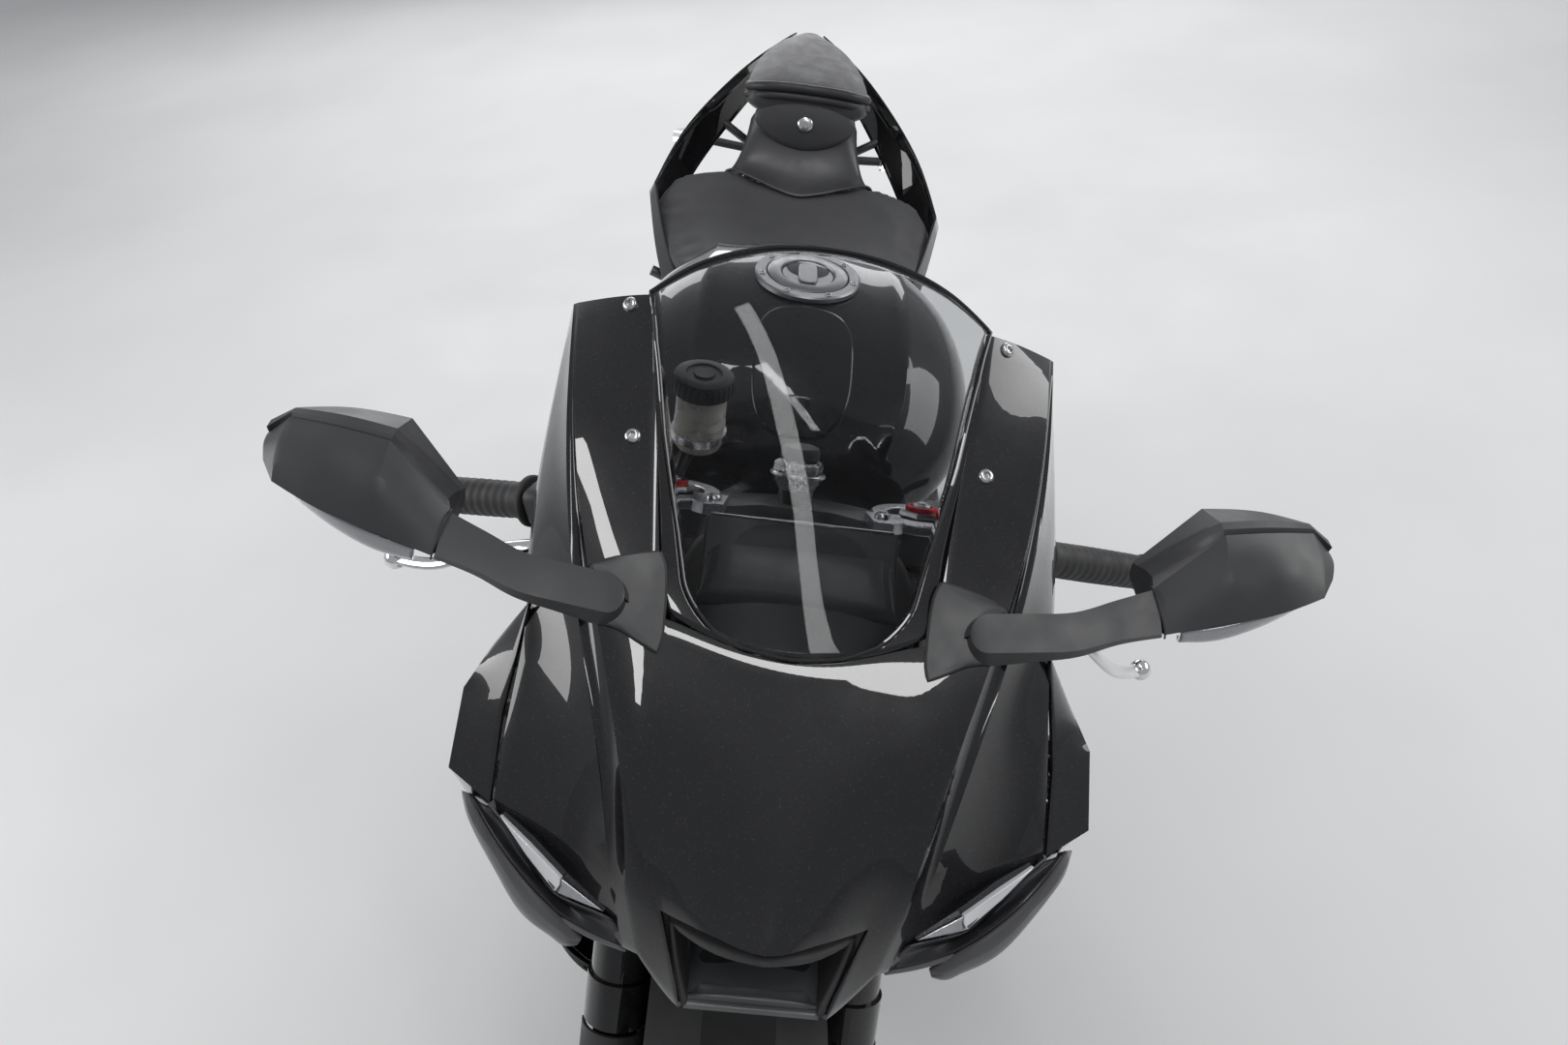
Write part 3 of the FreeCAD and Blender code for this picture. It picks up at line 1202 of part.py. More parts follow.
    nodes["pillion_footrests"] = pillion_footrests().cut(nodes["subframe"])
    return nodes


def place(nodes):
    """Lean the bike onto its stand and centre its footprint on the origin."""
    for shape in nodes.values():
        shape.rotate(V(0, 0, 0), V(1, 0, 0), -LEAN)
    box = FreeCAD.BoundBox()
    for shape in nodes.values():
        box.add(shape.optimalBoundingBox(False) if hasattr(shape, "optimalBoundingBox") else shape.BoundBox)
    shift = V(-(box.XMin + box.XMax) / 2, -(box.YMin + box.YMax) / 2, -box.ZMin)
    for shape in nodes.values():
        shape.translate(shift)
    print("shift", shift.x, shift.y, shift.z)
    print("size", box.XLength, box.YLength, box.ZLength)


os.makedirs("parts", exist_ok=True)
NODES = assemble()
place(NODES)
for name, shape in NODES.items():
    solids = len(shape.Solids)
    if not shape.isValid() or solids == 0:
        print("check", name, "valid", shape.isValid(), "solids", solids)
    shape.exportStep(f"parts/{name}.step")
print("pieces", len(NODES))
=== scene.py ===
"""Looks of the parked sport motorcycle: finishes, smooth bodywork, small details, light and camera."""
import bpy
import bmesh
import json
import math
import numpy
from mathutils import Matrix, Vector
from mathutils.bvhtree import BVHTree


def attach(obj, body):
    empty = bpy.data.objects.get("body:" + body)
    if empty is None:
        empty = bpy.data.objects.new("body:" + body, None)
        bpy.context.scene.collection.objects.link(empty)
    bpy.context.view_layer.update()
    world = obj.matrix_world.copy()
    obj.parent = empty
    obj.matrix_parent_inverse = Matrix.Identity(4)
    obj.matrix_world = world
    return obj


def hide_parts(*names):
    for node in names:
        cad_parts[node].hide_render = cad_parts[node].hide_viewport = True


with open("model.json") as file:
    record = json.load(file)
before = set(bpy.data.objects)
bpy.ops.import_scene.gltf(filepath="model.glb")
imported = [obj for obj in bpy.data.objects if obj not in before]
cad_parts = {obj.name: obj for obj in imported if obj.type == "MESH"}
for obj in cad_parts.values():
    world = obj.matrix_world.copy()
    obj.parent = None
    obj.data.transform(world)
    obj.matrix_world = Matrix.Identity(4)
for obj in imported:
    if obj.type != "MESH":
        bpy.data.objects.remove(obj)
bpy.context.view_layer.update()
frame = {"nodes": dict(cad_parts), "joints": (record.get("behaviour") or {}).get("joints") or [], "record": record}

# Frame of the upright bike. Its x runs forwards from the middle of the wheelbase, and lengths are millimetres
LEAN = math.radians(12.0)
LEANED = Matrix.Rotation(-LEAN, 4, "X")
WHEELBASE = 1405.0
FRONT_X = WHEELBASE / 2
REAR_X = -WHEELBASE / 2
RAKE = math.radians(24.0)
TRAIL = 102.0
FRONT_RADIUS, FRONT_CROWN = 300.0, 60.0
REAR_RADIUS, REAR_CROWN = 320.0, 95.0
FORK_SPACING = 105.0
PANEL = 3.0  # wall of the fairing's panels
EDGE = 0.8  # rounding of their edges
SAME_PLACE = 0.00002  # metres: points closer than this become one
ABOVE_BIKE = 1300
YOKE_TOP, ADJUSTER_FOOT, NUT_FOOT, STEM_MIDDLE = 950, 962, 964, 940
BOTTLE_X, BOTTLE_Y = 374, -88
FILLER_X, FILLER_Z = 104.5, 1018
TREAD_DEPTH, TREAD_STEPS = 3.0, 720
SIDES = ((1, "left"), (-1, "right"))
FINISHES = {}


def leaned_axle_height(radius, crown):
    """Axle height on the upright bike that puts the leaned tyre on the ground."""
    return radius - crown + crown / math.cos(LEAN)


FRONT_Z = leaned_axle_height(FRONT_RADIUS, FRONT_CROWN)
REAR_Z = leaned_axle_height(REAR_RADIUS, REAR_CROWN)


AXLE = Vector(next(joint["pos_m"] for joint in frame["joints"] if joint["name"] == "front_wheel_spin"))
SHIFT = AXLE - LEANED @ Vector((FRONT_X / 1000, 0.0, FRONT_Z / 1000))
TO_ROW = Matrix.Translation(SHIFT) @ LEANED


def row(point):
    """Point of the upright bike in the row's frame, in metres."""
    return TO_ROW @ (Vector(point) / 1000)


def steering_x(z):
    """Where the steering axis is at a height."""
    return FRONT_X + TRAIL - z * math.tan(RAKE)


def fork_x(z):
    """Where the fork legs' middle line is at a height."""
    return FRONT_X - (z - FRONT_Z) * math.tan(RAKE)


STEER_UP = Vector((-math.sin(RAKE), 0, math.cos(RAKE)))
STEER_AHEAD = Vector((math.cos(RAKE), 0, math.sin(RAKE)))


# Curves and surfaces
def turns(count, start=0.0):
    """Angles of equal steps round a circle."""
    return [2 * math.pi * (k + start) / count for k in range(count)]


def crossways(axis):
    """The axis at unit length and two directions square to it."""
    axis = Vector(axis).normalized()
    side = axis.orthogonal().normalized()
    return axis, side, axis.cross(side)


def hermite(p, q, u, w, steps):
    """Points from p up to q, without q, along a cubic with end slopes u and w."""
    for k in range(steps):
        t = k / steps
        yield (
            p * (2 * t ** 3 - 3 * t ** 2 + 1) + u * (t ** 3 - 2 * t ** 2 + t)
            + q * (3 * t ** 2 - 2 * t ** 3) + w * (t ** 3 - t ** 2)
        )


def curve_through(points, steps, breaks=(), closed=False):
    """Smooth line through the points, which turns sharply only at the numbered breaks."""
    points = [Vector(p) for p in points]
    count = len(points)
    spans = count if closed else count - 1
    gaps = [max((points[(i + 1) % count] - points[i]).length, 1e-6) for i in range(spans)]
    slopes = {}
    for i in range(count):
        if (closed or 0 < i < count - 1) and i not in breaks:
            before, after = gaps[i - 1], gaps[i % spans]
            back = (points[i] - points[i - 1]) / before
            ahead = (points[(i + 1) % count] - points[i]) / after
            slopes[i] = (back * after + ahead * before) / (before + after)
    line = []
    for i in range(spans):
        j = (i + 1) % count
        chord = (points[j] - points[i]) / gaps[i]
        u, w = slopes.get(i), slopes.get(j)
        if u is None and w is None:
            u = w = chord
        elif u is None:
            u = chord * 1.5 - w * 0.5
        elif w is None:
            w = chord * 1.5 - u * 0.5
        line += hermite(points[i], points[j], u * gaps[i], w * gaps[i], steps)
    if not closed:
        line.append(points[-1])
    return line


def surface(rows, across, along, breaks_across=(), breaks_along=(), closed=False):
    """Dense grid of points through a table of rows: across and along are the spans between its points."""
    wide = [curve_through(r, across, breaks_across, closed) for r in rows]
    columns = [curve_through([r[j] for r in wide], along, breaks_along) for j in range(len(wide[0]))]
    return [[c[i] for c in columns] for i in range(len(columns[0]))]


LINE_RELAX, SHEET_RELAX = 0.4, 0.45


def faired(dense, held_rows=(), held_columns=(), closed=False, rounds=3000):
    """The same sheet without its short waves. The border and the held lines are smoothed only along themselves."""
    sheet = numpy.array([[tuple(p) for p in r] for r in dense])
    rows = [0, len(sheet) - 1, *held_rows]
    columns = list(held_columns) if closed else [0, len(sheet[0]) - 1, *held_columns]

    def bend(values, free, both):
        """How far each point lies from the middle of its neighbours."""
        out = numpy.zeros_like(values)
        out[1:-1] = (values[:-2] + values[2:]) / 2 - values[1:-1]
        if both:
            side = (numpy.roll(values, 1, 1) + numpy.roll(values, -1, 1)) / 2 - values
            if not closed:
                side[:, [0, -1]] = 0
            out = (out + side) / 2
        return out * free

    for k in columns:
        line = sheet[:, k]
        free = numpy.ones((len(line), 1))
        free[rows] = 0
        for _ in range(rounds // 3):
            line = line - LINE_RELAX * bend(bend(line, free, False), free, False)
        sheet[:, k] = line
    free = numpy.ones(sheet.shape[:2] + (1,))
    free[rows] = 0
    free[:, columns] = 0
    for _ in range(rounds):
        sheet = sheet - SHEET_RELAX * bend(bend(sheet, free, True), free, True)
    return [[Vector(p) for p in r] for r in sheet.tolist()]


def both_halves(half):
    """Row of points over the whole width, from the right half's edge to the left half's."""
    return [(x, -y, z) for x, y, z in half[:0:-1]] + list(half)


def flipped(points):
    return [(p[0], -p[1], p[2]) for p in points]


class Form:
    """Points and faces of one piece, on the upright bike in millimetres. Most methods return the form."""

    def __init__(self):
        self.points = []
        self.faces = []

    def add(self, points, faces):
        base = len(self.points)
        self.points += [Vector(p) for p in points]
        self.faces += [[base + k for k in face] for face in faces]
        return self

    def grid(self, rows, closed=False, keep=None, capped=False):
        """Sheet over rows of points. Closed rows make a sleeve, and capped closes its two ends."""
        width = len(rows[0])
        faces = []
        for i in range(len(rows) - 1):
            for j in range(width if closed else width - 1):
                if keep is None or keep(i, j):
                    k = (j + 1) % width
                    faces.append([i * width + j, i * width + k, (i + 1) * width + k, (i + 1) * width + j])
        if capped:
            faces.append(list(range(width))[::-1])
            faces.append([(len(rows) - 1) * width + j for j in range(width)])
        return self.add([p for r in rows for p in r], faces)

    def lathe(self, centre, axis, profile, steps=32, closed=False):
        """Profile of (radius, height) points turned about an axis. Ends on the axis close by themselves."""
        centre = Vector(centre)
        axis, side, third = crossways(axis)
        rows = []
        for turn in turns(steps):
            out = side * math.cos(turn) + third * math.sin(turn)
            rows.append([centre + out * r + axis * h for r, h in profile])
        rows.append(rows[0])
        return self.grid(rows, closed=closed)

    def tube(self, path, radius, sides=12, capped=True, flat=1.0):
        """Round bar along a path. The radius is one number, or one for each point; flat squeezes its height."""
        path = [Vector(p) for p in path]
        radii = radius if isinstance(radius, (list, tuple)) else [radius] * len(path)
        side = None
        rings = []
        for i, p in enumerate(path):
            ahead = path[min(i + 1, len(path) - 1)] - path[max(i - 1, 0)]
            ahead.normalize()
            side = ahead.cross(Vector((0, 0, 1))) if side is None else side - ahead * side.dot(ahead)
            if side.length < 1e-4:
                side = ahead.orthogonal()
            side.normalize()
            third = ahead.cross(side)
            rings.append([p + (side * math.cos(t) + third * math.sin(t) * flat) * radii[i] for t in turns(sides)])
        return self.grid(rings, closed=True, capped=capped)

    def bolt(self, centre, axis, radius, height):
        """Button head with a socket, standing on a surface."""
        head = ((0, 0.3), (0.42, 0.3), (0.48, 1), (0.7, 0.96), (0.93, 0.6), (1, 0.2))
        return self.lathe(centre, axis, [(radius * r, height * h) for r, h in head] + [(radius, -1.0)], 20)

    def hexagon(self, centre, axis, radius, height):
        """Hexagon nut with a chamfered top."""
        axis, side, third = crossways(axis)
        rows = []
        for share, lift in ((1.0, 0.0), (1.0, 0.82), (0.88, 1.0)):
            middle = Vector(centre) + axis * height * lift
            rows.append([middle + (side * math.cos(t) + third * math.sin(t)) * radius * share for t in turns(6)])
        return self.grid(rows, closed=True, capped=True)

    def prism(self, outline, push):
        """Flat outline of points, pushed along a vector."""
        outline = [Vector(p) for p in outline]
        push = Vector(push)
        return self.grid([outline, [p + push for p in outline]], closed=True, capped=True)

    def join(self, other, side):
        """Adds another form, as its mirror image where the side is negative."""
        if side > 0:
            return self.add(other.points, other.faces)
        return self.add(flipped(other.points), [face[::-1] for face in other.faces])

    def mirrored(self):
        """The form with its mirror copy on the other side added."""
        return self.join(self, -1)

    def piece(self, name, slot, replaces=(), finish=None, body="chassis", wall=0.0, inside=None, bevel=0.0,
              corner=38):
        """Makes the piece. A wall thickens an open sheet towards the point inside. The finish is the slot's own
        unless another is named."""
        mesh = bpy.data.meshes.new(name)
        mesh.from_pydata([row(p) for p in self.points], [], self.faces)
        work = bmesh.new()
        work.from_mesh(mesh)
        bmesh.ops.remove_doubles(work, verts=work.verts, dist=SAME_PLACE)
        bmesh.ops.delete(work, geom=[v for v in work.verts if not v.link_faces], context="VERTS")
        bmesh.ops.recalc_face_normals(work, faces=work.faces)
        if inside is not None:
            target = row(inside)
            outward = sum(f.normal.dot(f.calc_center_median() - target) * f.calc_area() for f in work.faces)
            if outward < 0:
                bmesh.ops.reverse_faces(work, faces=work.faces)
        work.to_mesh(mesh)
        work.free()
        mesh.materials.append(FINISHES[finish or slot])
        obj = bpy.data.objects.new(name, mesh)
        bpy.context.scene.collection.objects.link(obj)
        mesh.shade_smooth()
        if wall:
            thick = obj.modifiers.new("wall", "SOLIDIFY")
            thick.thickness = wall / 1000
            thick.offset = -1.0
        if bevel:
            edges = obj.modifiers.new("edges", "BEVEL")
            edges.width = bevel / 1000
            edges.segments = 2
            edges.limit_method = "ANGLE"
            edges.angle_limit = math.radians(min(corner, 50))
            edges.harden_normals = False
        mesh.set_sharp_from_angle(angle=math.radians(corner))
        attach(obj, body)
        if replaces:
            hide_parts(*replaces)
        return obj


# Finishes
FLAKE_SCALE = 1500.0
STREAK_SCALE = 3.1  # how much finer the roughness varies than the colour


def add_node(tree, kind, **values):
    """New shader node. A value sets the socket of its name, or else the node's own property."""
    node = tree.nodes.new(kind)
    for key, value in values.items():
        if key in node.inputs:
            node.inputs[key].default_value = value
        else:
            setattr(node, key, value)
    return node


def ramp(tree, source, low, high, at=(0.35, 0.65)):
    """Two-colour ramp driven by a grey value."""
    node = add_node(tree, "ShaderNodeValToRGB")
    node.color_ramp.elements[0].position, node.color_ramp.elements[1].position = at
    node.color_ramp.elements[0].color = low
    node.color_ramp.elements[1].color = high
    tree.links.new(source, node.inputs["Fac"])
    return node.outputs["Color"]


def tone(colour, share):
    """The colour made lighter or darker."""
    return [min(1.0, c * share) for c in colour[:3]] + [1.0]


def make_finish(name, colour, rough, spread=0.06, mottle=0.15, patch=14.0, grain=0.0, grain_size=900.0, depth=0.0002,
                cells=False, stretch=None, flakes=0.0, wear=0.0, **sockets):
    """Procedural finish: colour and roughness vary in soft patches, and a fine grain lifts the surface. Flakes are
    bright specks in the paint, wear lightens the edges, and stretch draws the patches out along an axis."""
    material = bpy.data.materials.new(name)
    material.use_nodes = True
    tree = material.node_tree
    link = tree.links.new
    shader = tree.nodes["Principled BSDF"]
    for key, value in sockets.items():
        shader.inputs[key.replace("_", " ")].default_value = value
    place = add_node(tree, "ShaderNodeTexCoord").outputs["Object"]
    if stretch:
        mapping = add_node(tree, "ShaderNodeMapping", Scale=stretch)
        link(place, mapping.inputs["Vector"])
        place = mapping.outputs["Vector"]
    patches = add_node(tree, "ShaderNodeTexNoise", Scale=patch, Detail=3.0)
    link(place, patches.inputs["Vector"])
    tint = ramp(tree, patches.outputs["Fac"], tone(colour, 1 - mottle), tone(colour, 1 + mottle))
    if flakes:
        specks = add_node(tree, "ShaderNodeTexVoronoi", Scale=FLAKE_SCALE)
        link(place, specks.inputs["Vector"])
        bright = ramp(tree, specks.outputs["Color"], (0, 0, 0, 1), (flakes, flakes, flakes * 1.1, 1), (0.86, 0.97))
        both = add_node(tree, "ShaderNodeMix", data_type="RGBA", blend_type="ADD", Factor=1.0)
        link(tint, both.inputs[6])
        link(bright, both.inputs[7])
        tint = both.outputs[2]
    if wear:
        edge = add_node(tree, "ShaderNodeNewGeometry").outputs["Pointiness"]
        rubbed = add_node(tree, "ShaderNodeMix", data_type="RGBA")
        link(ramp(tree, edge, (0, 0, 0, 1), (wear, wear, wear, 1), (0.52, 0.6)), rubbed.inputs["Factor"])
        link(tint, rubbed.inputs[6])
        rubbed.inputs[7].default_value = tone(colour, 3.0)
        tint = rubbed.outputs[2]
    link(tint, shader.inputs["Base Color"])
    streaks = add_node(tree, "ShaderNodeTexNoise", Scale=patch * STREAK_SCALE, Detail=5.0)
    link(place, streaks.inputs["Vector"])
    low, high = max(rough - spread, 0.0), min(rough + spread, 1.0)
    level = ramp(tree, streaks.outputs["Fac"], (low, low, low, 1), (high, high, high, 1))
    link(level, shader.inputs["Roughness"])
    if grain:
        if cells:
            texture = add_node(tree, "ShaderNodeTexVoronoi", Scale=grain_size)
            height = texture.outputs["Distance"]
        else:
            texture = add_node(tree, "ShaderNodeTexNoise", Scale=grain_size, Detail=2.0)
            height = texture.outputs["Fac"]
        link(place, texture.inputs["Vector"])
        bump = add_node(tree, "ShaderNodeBump", Strength=grain, Distance=depth)
        link(height, bump.inputs["Height"])
        link(bump.outputs["Normal"], shader.inputs["Normal"])
    FINISHES[name] = material
    return material


make_finish("gloss_black", (0.006, 0.006, 0.007), 0.30, 0.05, flakes=0.05, Coat_Weight=1.0, Coat_Roughness=0.015,
            Specular_IOR_Level=0.1)
make_finish("matte_black", (0.020, 0.020, 0.021), 0.52, grain=0.25, grain_size=1400.0, wear=0.25)
make_finish("mirror_shell", (0.036, 0.0365, 0.038), 0.42, 0.05, 0.06, grain=0.12, grain_size=1800.0)
make_finish("satin_grey", (0.12, 0.12, 0.125), 0.34, 0.05, 0.08, grain=0.08, grain_size=1500.0)
make_finish("duct_grey", (0.085, 0.088, 0.094), 0.34, 0.06, 0.1, grain=0.1, grain_size=1500.0)
make_finish("smoke", (0.60, 0.61, 0.62), 0.015, 0.01, 0.02, patch=5.0, Transmission_Weight=1.0, IOR=1.2,
            Specular_IOR_Level=0.9)
make_finish("tyre", (0.017, 0.017, 0.018), 0.72, 0.1, 0.25, patch=30.0, grain=0.5, grain_size=700.0, wear=0.35)
make_finish("rubber", (0.022, 0.022, 0.023), 0.6, 0.08, 0.2, grain=0.4, grain_size=1100.0)
make_finish("cast_black", (0.014, 0.014, 0.016), 0.33, 0.07, 0.15, grain=0.2, grain_size=500.0, wear=0.2)
make_finish("alloy", (0.56, 0.56, 0.58), 0.34, 0.08, 0.07, patch=40.0, stretch=(1, 6, 6), grain=0.12,
            grain_size=500.0, Metallic=1.0)
make_finish("dark_alloy", (0.085, 0.085, 0.09), 0.4, 0.1, 0.15, grain=0.3, grain_size=420.0, wear=0.3, Metallic=0.75)
make_finish("black_steel", (0.02, 0.02, 0.022), 0.38, 0.08, 0.2, grain=0.25, grain_size=350.0, wear=0.5, Metallic=0.5)
make_finish("steel", (0.52, 0.52, 0.53), 0.26, 0.08, 0.08, patch=60.0, grain=0.1, grain_size=900.0, Metallic=1.0)
make_finish("titanium", (0.36, 0.33, 0.31), 0.32, 0.08, 0.2, patch=9.0, grain=0.1, grain_size=300.0, Metallic=1.0)
make_finish("seat", (0.034, 0.034, 0.037), 0.58, 0.07, 0.12, grain=0.6, grain_size=620.0, cells=True, depth=0.0003,
            Sheen_Weight=0.25, Sheen_Roughness=0.5)
make_finish("red_lens", (0.42, 0.012, 0.012), 0.08, 0.03, 0.1, grain=0.5, grain_size=260.0, cells=True,
            Coat_Weight=1.0, Coat_Roughness=0.02, Transmission_Weight=0.35)
make_finish("clear_lens", (0.82, 0.84, 0.86), 0.05, 0.03, 0.04, grain=0.25, grain_size=240.0, cells=True,
            Transmission_Weight=0.9, IOR=1.3)
make_finish("white_lens", (0.86, 0.87, 0.89), 0.18, 0.05, 0.03, grain=0.2, grain_size=300.0, Coat_Weight=1.0,
            Coat_Roughness=0.03)
make_finish("mirror", (0.82, 0.83, 0.85), 0.02, 0.01, 0.02, Metallic=1.0)
make_finish("bottle", (0.62, 0.60, 0.55), 0.28, 0.05, 0.05, grain=0.1, grain_size=400.0, Transmission_Weight=0.45,
            IOR=1.35)
make_finish("display_glass", (0.012, 0.013, 0.016), 0.06, 0.02, 0.2, Coat_Weight=1.0, Coat_Roughness=0.01)
make_finish("red_metal", (0.5, 0.03, 0.04), 0.3, 0.05, 0.1, Metallic=1.0, grain=0.1)
make_finish("orange_plastic", (0.75, 0.2, 0.05), 0.4, 0.05, 0.1, grain=0.1)
make_finish("lens_grey", (0.30, 0.31, 0.33), 0.10, 0.04, 0.15, grain=0.4, grain_size=420.0, cells=True,
            Coat_Weight=1.0, Coat_Roughness=0.02)
make_finish("seat_band", (0.022, 0.022, 0.024), 0.5, 0.06, 0.12, grain=0.3, grain_size=700.0)
make_finish("satin_dark", (0.045, 0.045, 0.048), 0.38, 0.05, 0.1, grain=0.15, grain_size=1500.0)
make_finish("polished", (0.74, 0.74, 0.75), 0.14, 0.05, 0.05, patch=50.0, grain=0.05, grain_size=300.0, Metallic=1.0)
make_finish("cap_metal", (0.30, 0.30, 0.31), 0.36, 0.06, 0.06, patch=50.0, grain=0.1, grain_size=1200.0,
            Metallic=0.85)


def finish_nodes():
    """Every CAD node gets the finish of its material slot."""
    slots = {part["node"]: part["material_slot"] for part in frame["record"]["subparts"]}
    for name, obj in frame["nodes"].items():
        obj.data.materials.clear()
        obj.data.materials.append(FINISHES[slots[name]])


class Ground:
    """Surface of a finished form, to set other pieces on."""

    def __init__(self, form):
        self.tree = BVHTree.FromPolygons(form.points, form.faces)

    def below(self, x, y):
        """Point and upward normal where a line straight down meets the surface."""
        place, normal, _, _ = self.tree.ray_cast(Vector((x, y, ABOVE_BIKE)), Vector((0, 0, -1)))
        return place, -normal if normal.z < 0 else normal


def rounded(half_x, half_y, power, steps):
    """Outline of a rounded rectangle about zero as (x, y) points."""
    circle = [(math.cos(a), math.sin(a)) for a in turns(steps)]
    return [
        (half_x * math.copysign(abs(c) ** (2 / power), c), half_y * math.copysign(abs(s) ** (2 / power), s))
        for c, s in circle
    ]


# Fairing. Tables hold the left half or the left side, with the nose's rows from the top down
NOSE_ROWS = [
    [(380, 0, 1122), (378, 70, 1120), (366, 134, 1111), (336, 197, 1080), (334, 201, 1077), (340, 204, 1058)],
    [(520, 0, 1034), (514, 60, 1034), (490, 112, 1040), (491, 176, 1035), (487, 183, 1030), (500, 210, 950)],
    [(603, 0, 956), (598, 52, 960), (583, 98, 972), (590, 144, 969), (585, 158, 963), (564, 193, 953)],
    [(684, 0, 888), (680, 45, 892), (672, 88, 902), (678, 112, 907), (670, 127, 900), (613, 203, 889)],
    [(757, 0, 825), (738, 40, 817), (717, 75, 810), (708, 101, 817), (700, 114, 811), (656, 204, 839)],
    [(770, 0, 760), (760, 40, 750), (745, 54, 736), (721, 88, 761), (712, 100, 755), (668, 196, 800)],
]
SCREEN_COLUMN = 2  # the opening ends at this column of the half rows
SCREEN_ROWS = [
    [(606, 0, 960), (603, 30, 962), (596, 64, 966), (582, 98, 976)],
    [(545, 0, 1012), (543, 38, 1011), (539, 72, 1008), (532, 108, 1004)],
    [(480, 0, 1062), (479, 40, 1060), (476, 78, 1055), (470, 120, 1048)],
    [(400, 0, 1112), (400, 44, 1110), (400, 84, 1102), (400, 130, 1090)],
    [(322, 0, 1147), (328, 52, 1144), (341, 98, 1132), (362, 138, 1110)],
]
SIDE_ROWS = [
    [(564, 196, 951), (562, 222, 905), (548, 240, 838), (480, 241, 796), (250, 218, 766)],
    [(614, 206, 887), (592, 239, 885), (560, 246, 795), (440, 248, 752), (235, 226, 728)],
    [(658, 207, 837), (634, 242, 843), (540, 248, 765), (390, 250, 715), (200, 232, 670)],
    [(630, 226, 780), (600, 236, 775), (520, 246, 715), (370, 248, 655), (160, 232, 600)],
    [(560, 222, 672), (530, 232, 672), (470, 240, 625), (340, 240, 570), (110, 226, 510)],
    [(478, 214, 540), (455, 222, 540), (400, 226, 510), (290, 226, 470), (60, 214, 420)],
    [(430, 200, 400), (410, 206, 400), (360, 208, 385), (250, 205, 360), (20, 196, 330)],
]
BELLY_ROWS = [
    [(429, 199, 397), (409, 205, 397), (359, 207, 382), (249, 204, 357), (19, 195, 327)],
    [(402, 176, 280), (385, 182, 280), (330, 184, 270), (200, 180, 255), (0, 174, 250)],
    [(380, 120, 190), (365, 124, 186), (300, 126, 178), (150, 126, 168), (-20, 124, 176)],
    [(376, 0, 176), (362, 0, 172), (298, 0, 164), (148, 0, 156), (-22, 0, 160)],
]
STEPS = 8  # spans of the dense surface between two points of a table


def nose_cowl():
    """Cowl with two ridges on each side and an opening for the screen. Returns the surface without the opening."""
    rows = [both_halves(half) for half in NOSE_ROWS]
    middle = len(NOSE_ROWS[0]) - 1
    ridges = (middle - 4, middle - 3, middle + 3, middle + 4)
    dense = surface(rows, STEPS, STEPS, breaks_across=ridges, breaks_along=(4,))
    dense = faired(dense, [4 * STEPS], [k * STEPS for k in ridges])

    def keep(i, j):
        beside = abs(j + 0.5 - middle * STEPS) > SCREEN_COLUMN * STEPS
        return beside or 2 * STEPS <= i < 4 * STEPS

    Form().grid(dense, keep=keep).piece("nose_shell", "gloss_black", ("nose_cowl",), wall=PANEL, inside=(450, 0, 800),
                                        bevel=EDGE)
    return Ground(Form().grid(dense))


GLASS_HALF_WIDTHS = [77, 93, 112, 127, 137]
GLASS_CORNER = 40
GLASS_SPANS = 20  # from the middle to each side


def at_side(line, y):
    """Point of a sideways row of points at the given y."""
    for p, q in zip(line, line[1:]):
        if p.y <= y <= q.y:
            return p.lerp(q, (y - p.y) / max(q.y - p.y, 1e-6))
    return line[-1] if y > 0 else line[0]


def windscreen():
    """Smoked screen with rounded lower corners, the black borders beside it and the rim round it."""
    rows = [both_halves(half) for half in SCREEN_ROWS]
    along = 14
    dense = faired(surface(rows, STEPS, along))
    middle = len(dense[0]) // 2
    glass, borders, run = [], ([], []), 0.0
    for i, line in enumerate(dense):
        if i:
            run += (line[middle] - dense[i - 1][middle]).length
        k = min(i / along, len(GLASS_HALF_WIDTHS) - 1.001)
        low, high = GLASS_HALF_WIDTHS[int(k)], GLASS_HALF_WIDTHS[int(k) + 1]
        half = low + (high - low) * (k - int(k))
        if run < GLASS_CORNER:
            half += math.sqrt(GLASS_CORNER ** 2 - (GLASS_CORNER - run) ** 2) - GLASS_CORNER
        glass.append([at_side(line, half * (j / GLASS_SPANS - 1)) for j in range(2 * GLASS_SPANS + 1)])
        for side, border in zip((-1, 1), borders):
            outer = abs(line[0].y)
            border.append([at_side(line, side * (half + (outer - half) * j / 5)) for j in range(6)])
    Form().grid(glass).piece("screen", "smoke", ("windscreen",), wall=PANEL, inside=(400, 0, 700))
    for border, name in zip(borders, ("right", "left")):
        Form().grid(border).piece("screen_border_" + name, "gloss_black", ("windscreen",), wall=PANEL,
                                  inside=(400, 0, 700))
    outline = glass[0] + [r[-1] for r in glass[1:]] + glass[-1][-2::-1] + [r[0] for r in glass[-2:0:-1]]
    Form().tube(outline + outline[:1], 1.7, 8, capped=False).piece("screen_rim", "gloss_black")


def side_pair(name, nodes, dense, inside, keep=None):
    """Panel on the left and its mirror image on the right."""
    for (side, end), node in zip(SIDES, nodes):
        sheet = Form().grid(dense if side > 0 else [flipped(r) for r in dense], keep=keep)
        sheet.piece(name + end, "gloss_black", (node,), wall=PANEL, inside=inside, bevel=EDGE)


def side_cowls():
    """Side panels, each with an opening for the warm air."""
    dense = surface(SIDE_ROWS, STEPS, STEPS, breaks_across=(1,), breaks_along=(1, 2, 3))
    dense = faired(dense, [STEPS, 2 * STEPS, 3 * STEPS], [STEPS])
    vent = range(2 * STEPS, 3 * STEPS)
    side_pair("side_shell_", ("side_cowl_left", "side_cowl_right"), dense, (250, 0, 600),
              keep=lambda i, j: i not in vent or j not in vent)


